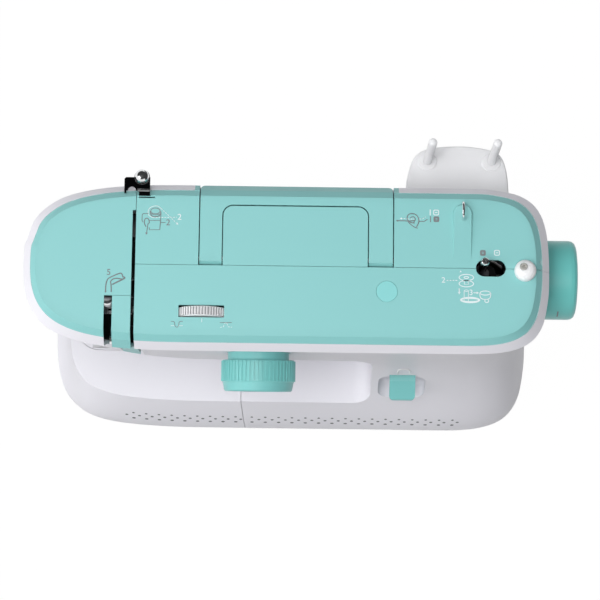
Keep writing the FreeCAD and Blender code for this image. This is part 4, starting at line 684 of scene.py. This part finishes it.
whitePrint = {
    "line": [
        (0.5, [(115.9, -22.3), (115.9, -24.5), (118.8, -24.5), (118.8, -22.3)]),
        (0.5, [(115.7, -29.2), (115.8, -36.7)]),
        (0.5, [(118.8, -29.2), (118.8, -36.7)]),
        (0.8, [(112.2, -27.6), (112.2, -30.2)]),
        (0.7, [(122.4, -30.6), (124.8, -30.6)]),
        (0.45, [(-71.4, -51.6), (-71.4, -54.5)]),
        (0.4, [(-93.3, -57.3), (-90.9, -57.3)]),
        (0.4, [(-87.8, -57.3), (-84.8, -57.2)]),
    ],
    "dash": [
        (0.45, [(-102.1, 28.0), (-90.6, 17.2)]),
        (0.45, [(-108.0, 21.2), (-90.7, 21.7)]),
        (0.6, [(103.2, -21.9), (111.4, -21.8)]),
        (0.45, [(70.0, 22.9), (75.0, 22.7), (79.8, 22.6)]),
        (0.45, [(83.5, 22.7), (85.7, 22.9), (88.2, 24.4)]),
        (0.4, [(-58.2, -58.1), (-55.8, -57.7), (-55.4, -55.4), (-54.3, -54.6), (-53.1, -55.3),
               (-52.6, -57.5), (-49.8, -57.9)]),
    ],
    "curve": [
        (0.45, [(-108.0, 21.2), (-110.2, 22.0), (-111.5, 24.1), (-111.3, 27.1), (-109.5, 29.0),
                (-106.5, 29.9), (-104.1, 29.7), (-102.1, 28.0)]),
        (0.65, [(126.9, -30.8), (127.0, -33.8), (128.4, -35.1), (130.8, -35.4), (133.3, -35.1),
                (134.7, -33.6), (134.8, -30.7)]),
    ],
    "ring": [
        (0.65, (117.3, -19.6), 5.5, 2.6), (0.6, (117.3, -19.6), 2.0, 1.0), (0.65, (117.3, -24.1), 5.5, 2.6),
        (0.45, (117.3, -29.2), 1.6, 0.8), (0.65, (130.8, -30.7), 4.0, 1.8), (0.6, (131.9, -36.4), 1.7, 1.5),
        (1.5, (120.0, -35.9), 7.2, 2.3),
    ],
    "tip": [
        ((112.2, -30.8), -90, 1.2), ((125.2, -30.6), 0, 1.1), ((-90.3, 16.9), -43, 1.0),
        ((70.4, 22.9), 180, 0.9), ((113.2, -15.3), 100, 0.9),
    ],
    "tile": [((95.5, 27.6), 4.2, 0.6), ((139.2, -1.3), 4.2, 0.6)],
    "text": [
        ("2", (-88.8, 21.7), 4.6), ("1", (91.2, 27.4), 4.6), ("2", (100.9, -21.8), 4.2),
        ("3", (120.7, -30.6), 4.2),
    ],
}


def meshFromData(data):
    temp = bpy.data.objects.new("temporary", data)
    mesh = bpy.data.meshes.new_from_object(temp)
    bpy.data.objects.remove(temp)
    return mesh


def strokeMesh(strokes, smooth):
    curve = bpy.data.curves.new("strokes", "CURVE")
    curve.dimensions = "3D"
    curve.bevel_depth = 0.5  # each point's radius holds the full width
    curve.bevel_resolution = 1
    curve.use_fill_caps = True
    for width, points in strokes:
        spline = curve.splines.new("NURBS" if smooth else "POLY")
        spline.points.add(len(points) - 1)
        for point, (x, y) in zip(spline.points, points):
            point.co = (x, y, 0, 1)
            point.radius = width
        if smooth:
            spline.order_u = 3
            spline.use_endpoint_u = True
            spline.resolution_u = printSet["curveSteps"]
    return meshFromData(curve)


# cuts a run of straight lines into short dashes
def dashed(width, points):
    pieces = []
    for first, last in zip(points, points[1:]):
        run = Vector(last) - Vector(first)
        way = run.normalized()
        walked = 0.0
        while walked < run.length - printSet["shortest"]:
            stop = min(walked + printSet["dash"], run.length)
            pieces.append((width, [Vector(first) + way * walked, Vector(first) + way * stop]))
            walked = stop + printSet["gap"]
    return pieces


# flat ring; square pulls it out to a rounded square
def addRing(bm, width, centre, wide, tall, square=False):
    loops = []
    for grow in (0.0, -width):
        made = bmesh.ops.create_circle(bm, segments=printSet["ringSteps"], radius=1.0)
        if square:
            for vert in made["verts"]:
                vert.co = [math.copysign(math.sqrt(abs(value)), value) for value in vert.co]
        bmesh.ops.scale(bm, vec=(wide + grow, tall + grow, 1), verts=made["verts"])
        bmesh.ops.translate(bm, vec=(*centre, 0), verts=made["verts"])
        loops += [edge for vert in made["verts"] for edge in vert.link_edges]
    bmesh.ops.bridge_loops(bm, edges=list(set(loops)))


# three-cornered arrow tip
def addTip(bm, spot, heading, length):
    made = bmesh.ops.create_circle(bm, cap_ends=True, segments=3, radius=length)
    turn = Matrix.Rotation(math.radians(heading - 90), 4, "Z")
    bmesh.ops.transform(bm, matrix=Matrix.Translation((*spot, 0)) @ turn, verts=made["verts"])


# small rounded tile with a bar across its middle
def addTile(bm, spot, side, width):
    addRing(bm, width, spot, side / 2, side / 2, True)
    bar = bmesh.ops.create_grid(bm, x_segments=1, y_segments=1, size=0.5)
    bmesh.ops.scale(bm, vec=(*printSet["bar"], 1), verts=bar["verts"])
    bmesh.ops.translate(bm, vec=(*spot, 0), verts=bar["verts"])


def textMesh(figure, spot, height):
    data = bpy.data.curves.new("figure", "FONT")
    data.body = figure
    data.size = height * printSet["typeScale"]
    data.align_x = "CENTER"
    data.align_y = "CENTER"
    data.offset = printSet["typeGrow"]
    mesh = meshFromData(data)
    mesh.transform(Matrix.Translation((*spot, 0)))
    return mesh


def finishPiece(bm, name, look, body):
    piece = addToScene(name, meshOf(bm, name, looks[look]))
    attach(piece, body)


def makePrint(name, drawing, look):
    strokes = list(drawing["line"])
    for width, points in drawing["dash"]:
        strokes += dashed(width, points)
    bm = bmesh.new()
    bm.from_mesh(strokeMesh(strokes, False))
    bm.from_mesh(strokeMesh(drawing["curve"], True))
    bmesh.ops.scale(bm, vec=(1, 1, printSet["flat"]), verts=bm.verts)
    for ring in drawing["ring"]:
        addRing(bm, *ring)
    for tip in drawing["tip"]:
        addTip(bm, *tip)
    for tile in drawing["tile"]:
        addTile(bm, *tile)
    for text in drawing["text"]:
        bm.from_mesh(textMesh(*text))
    bmesh.ops.translate(bm, vec=(0, 0, printSet["level"] + printSet["lift"]), verts=bm.verts)
    bmesh.ops.scale(bm, vec=(mm, mm, mm), verts=bm.verts)
    finishPiece(bm, name, look, "housing")


makePrint("topPrintGrey", greyPrint, "greyInk")
makePrint("topPrintWhite", whitePrint, "whiteInk")
print("printed figures ready")


# rows of dots low on the front of the base: row kind, height and dot radius; start, pitch and count per field

dotSet = {
    "rows": [("outer", 38.3, 1.1), ("middle", 34.2, 1.25), ("outer", 29.2, 1.45)],
    "fall": 0.0085, "lift": 0.04, "sides": 14,
    "tableDots": {"body": "table", "outer": (-134.2, 10.27, 9), "middle": (-139.7, 10.2, 10)},
    "baseDots": {"body": "housing", "outer": (-39.0, 10.76, 16), "middle": (-33.3, 10.65, 16)},
}
castFrom = -200.0  # in front of every piece


def surfaceOf(names):
    bm = bmesh.new()
    for name in names:
        bm.from_mesh(nodes[name].data)
    tree = BVHTree.FromBMesh(bm)
    bm.free()
    return tree


frontSkin = surfaceOf(["front_cover", "extension_table"])


# point and outward turn on the front of the machine at (x, z)
def onFront(x, z, lift):
    spot, normal = frontSkin.ray_cast(Vector((x, castFrom, z)) * mm, Vector((0, 1, 0)))[:2]
    turn = normal.to_track_quat("Z", "Y").to_matrix().to_4x4()
    return Matrix.Translation(spot + normal * lift * mm) @ turn


def makeDots(name):
    field = dotSet[name]
    bm = bmesh.new()
    for row, height, radius in dotSet["rows"]:
        start, pitch, count = field[row]
        for index in range(count):
            x = start + index * pitch
            spot = onFront(x, height - dotSet["fall"] * x, dotSet["lift"])
            bmesh.ops.create_circle(
                bm, cap_ends=True, segments=dotSet["sides"], radius=radius * mm, matrix=spot)
    finishPiece(bm, name, "dotInk", field["body"])


makeDots("baseDots")
makeDots("tableDots")
print("dots ready")


# round inlay on the top, turn sign over the reverse lever, mark on the handwheel

inlaySet = {
    "spot": (60.5, -30.5), "radius": 7.6, "low": 284.3, "high": 284.92, "sides": 64,
    "edge": 0.25, "edgeSteps": 3,
}
signSet = {
    "spot": (79.8, 118.0), "lift": 0.2, "flat": 1.2, "width": 1.1,
    "points": [(-4.6, -5.0), (-4.8, 1.0), (-3.6, 5.0), (0.0, 6.4), (3.6, 5.0), (4.8, 1.0), (4.6, -5.0)],
}
markSet = {"axis": (-8.0, 216.0), "radius": 29.36, "x": (187.8, 188.8), "angles": (151.7, 166.4), "steps": 6}


def makeInlay():
    radius = inlaySet["radius"]
    depth = inlaySet["high"] - inlaySet["low"]
    bm = bmesh.new()
    bmesh.ops.create_cone(
        bm, cap_ends=True, segments=inlaySet["sides"], radius1=radius, radius2=radius, depth=depth)
    rim = [edge for edge in bm.edges if all(vert.co.z > 0 for vert in edge.verts)]
    bmesh.ops.bevel(
        bm, geom=rim, offset=inlaySet["edge"], offset_type="OFFSET", segments=inlaySet["edgeSteps"],
        profile=0.5, affect="EDGES", material=-1)
    bmesh.ops.translate(bm, vec=(*inlaySet["spot"], inlaySet["low"] + depth / 2), verts=bm.verts)
    bmesh.ops.scale(bm, vec=(mm, mm, mm), verts=bm.verts)
    finishPiece(bm, "topInlay", "tealInlay", "housing")


def makeSign():
    bm = bmesh.new()
    bm.from_mesh(strokeMesh([(signSet["width"], signSet["points"])], True))
    bmesh.ops.scale(bm, vec=(mm, mm, signSet["flat"] * mm), verts=bm.verts)
    bmesh.ops.transform(bm, matrix=onFront(*signSet["spot"], signSet["lift"]), verts=bm.verts)
    # the sign takes the brighter knob white over the cover's white, a painted highlight that makes it stand
    # out
    finishPiece(bm, "turnSign", "whiteKnob", "housing")


def makeMark():
    first, last = markSet["angles"]
    bm = bmesh.new()
    rows = []
    for step in range(markSet["steps"] + 1):
        angle = math.radians(first + (last - first) * step / markSet["steps"])
        y = markSet["axis"][0] + markSet["radius"] * math.cos(angle)
        z = markSet["axis"][1] + markSet["radius"] * math.sin(angle)
        rows.append([bm.verts.new(Vector((x, y, z)) * mm) for x in markSet["x"]])
    for (a, b), (c, d) in zip(rows, rows[1:]):
        bm.faces.new((a, b, d, c))
    finishPiece(bm, "wheelMark", "greyInk", "main_drive")


makeInlay()
makeSign()
makeMark()
print("small marks ready")


# coil on the presser bar: a merged copy of the spring node stands in its place

coilSet = {"merge": 0.00001, "look": "drawnSteel"}


def makeCoil():
    bm = bmesh.new()
    bm.from_mesh(nodes["presser_spring"].data)
    bmesh.ops.remove_doubles(bm, verts=bm.verts, dist=coilSet["merge"])
    coil = addToScene("presserCoil", meshOf(bm, "presserCoil", looks[coilSet["look"]]))
    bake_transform(coil)
    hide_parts("presser_spring")


makeCoil()
print("presser coil ready")
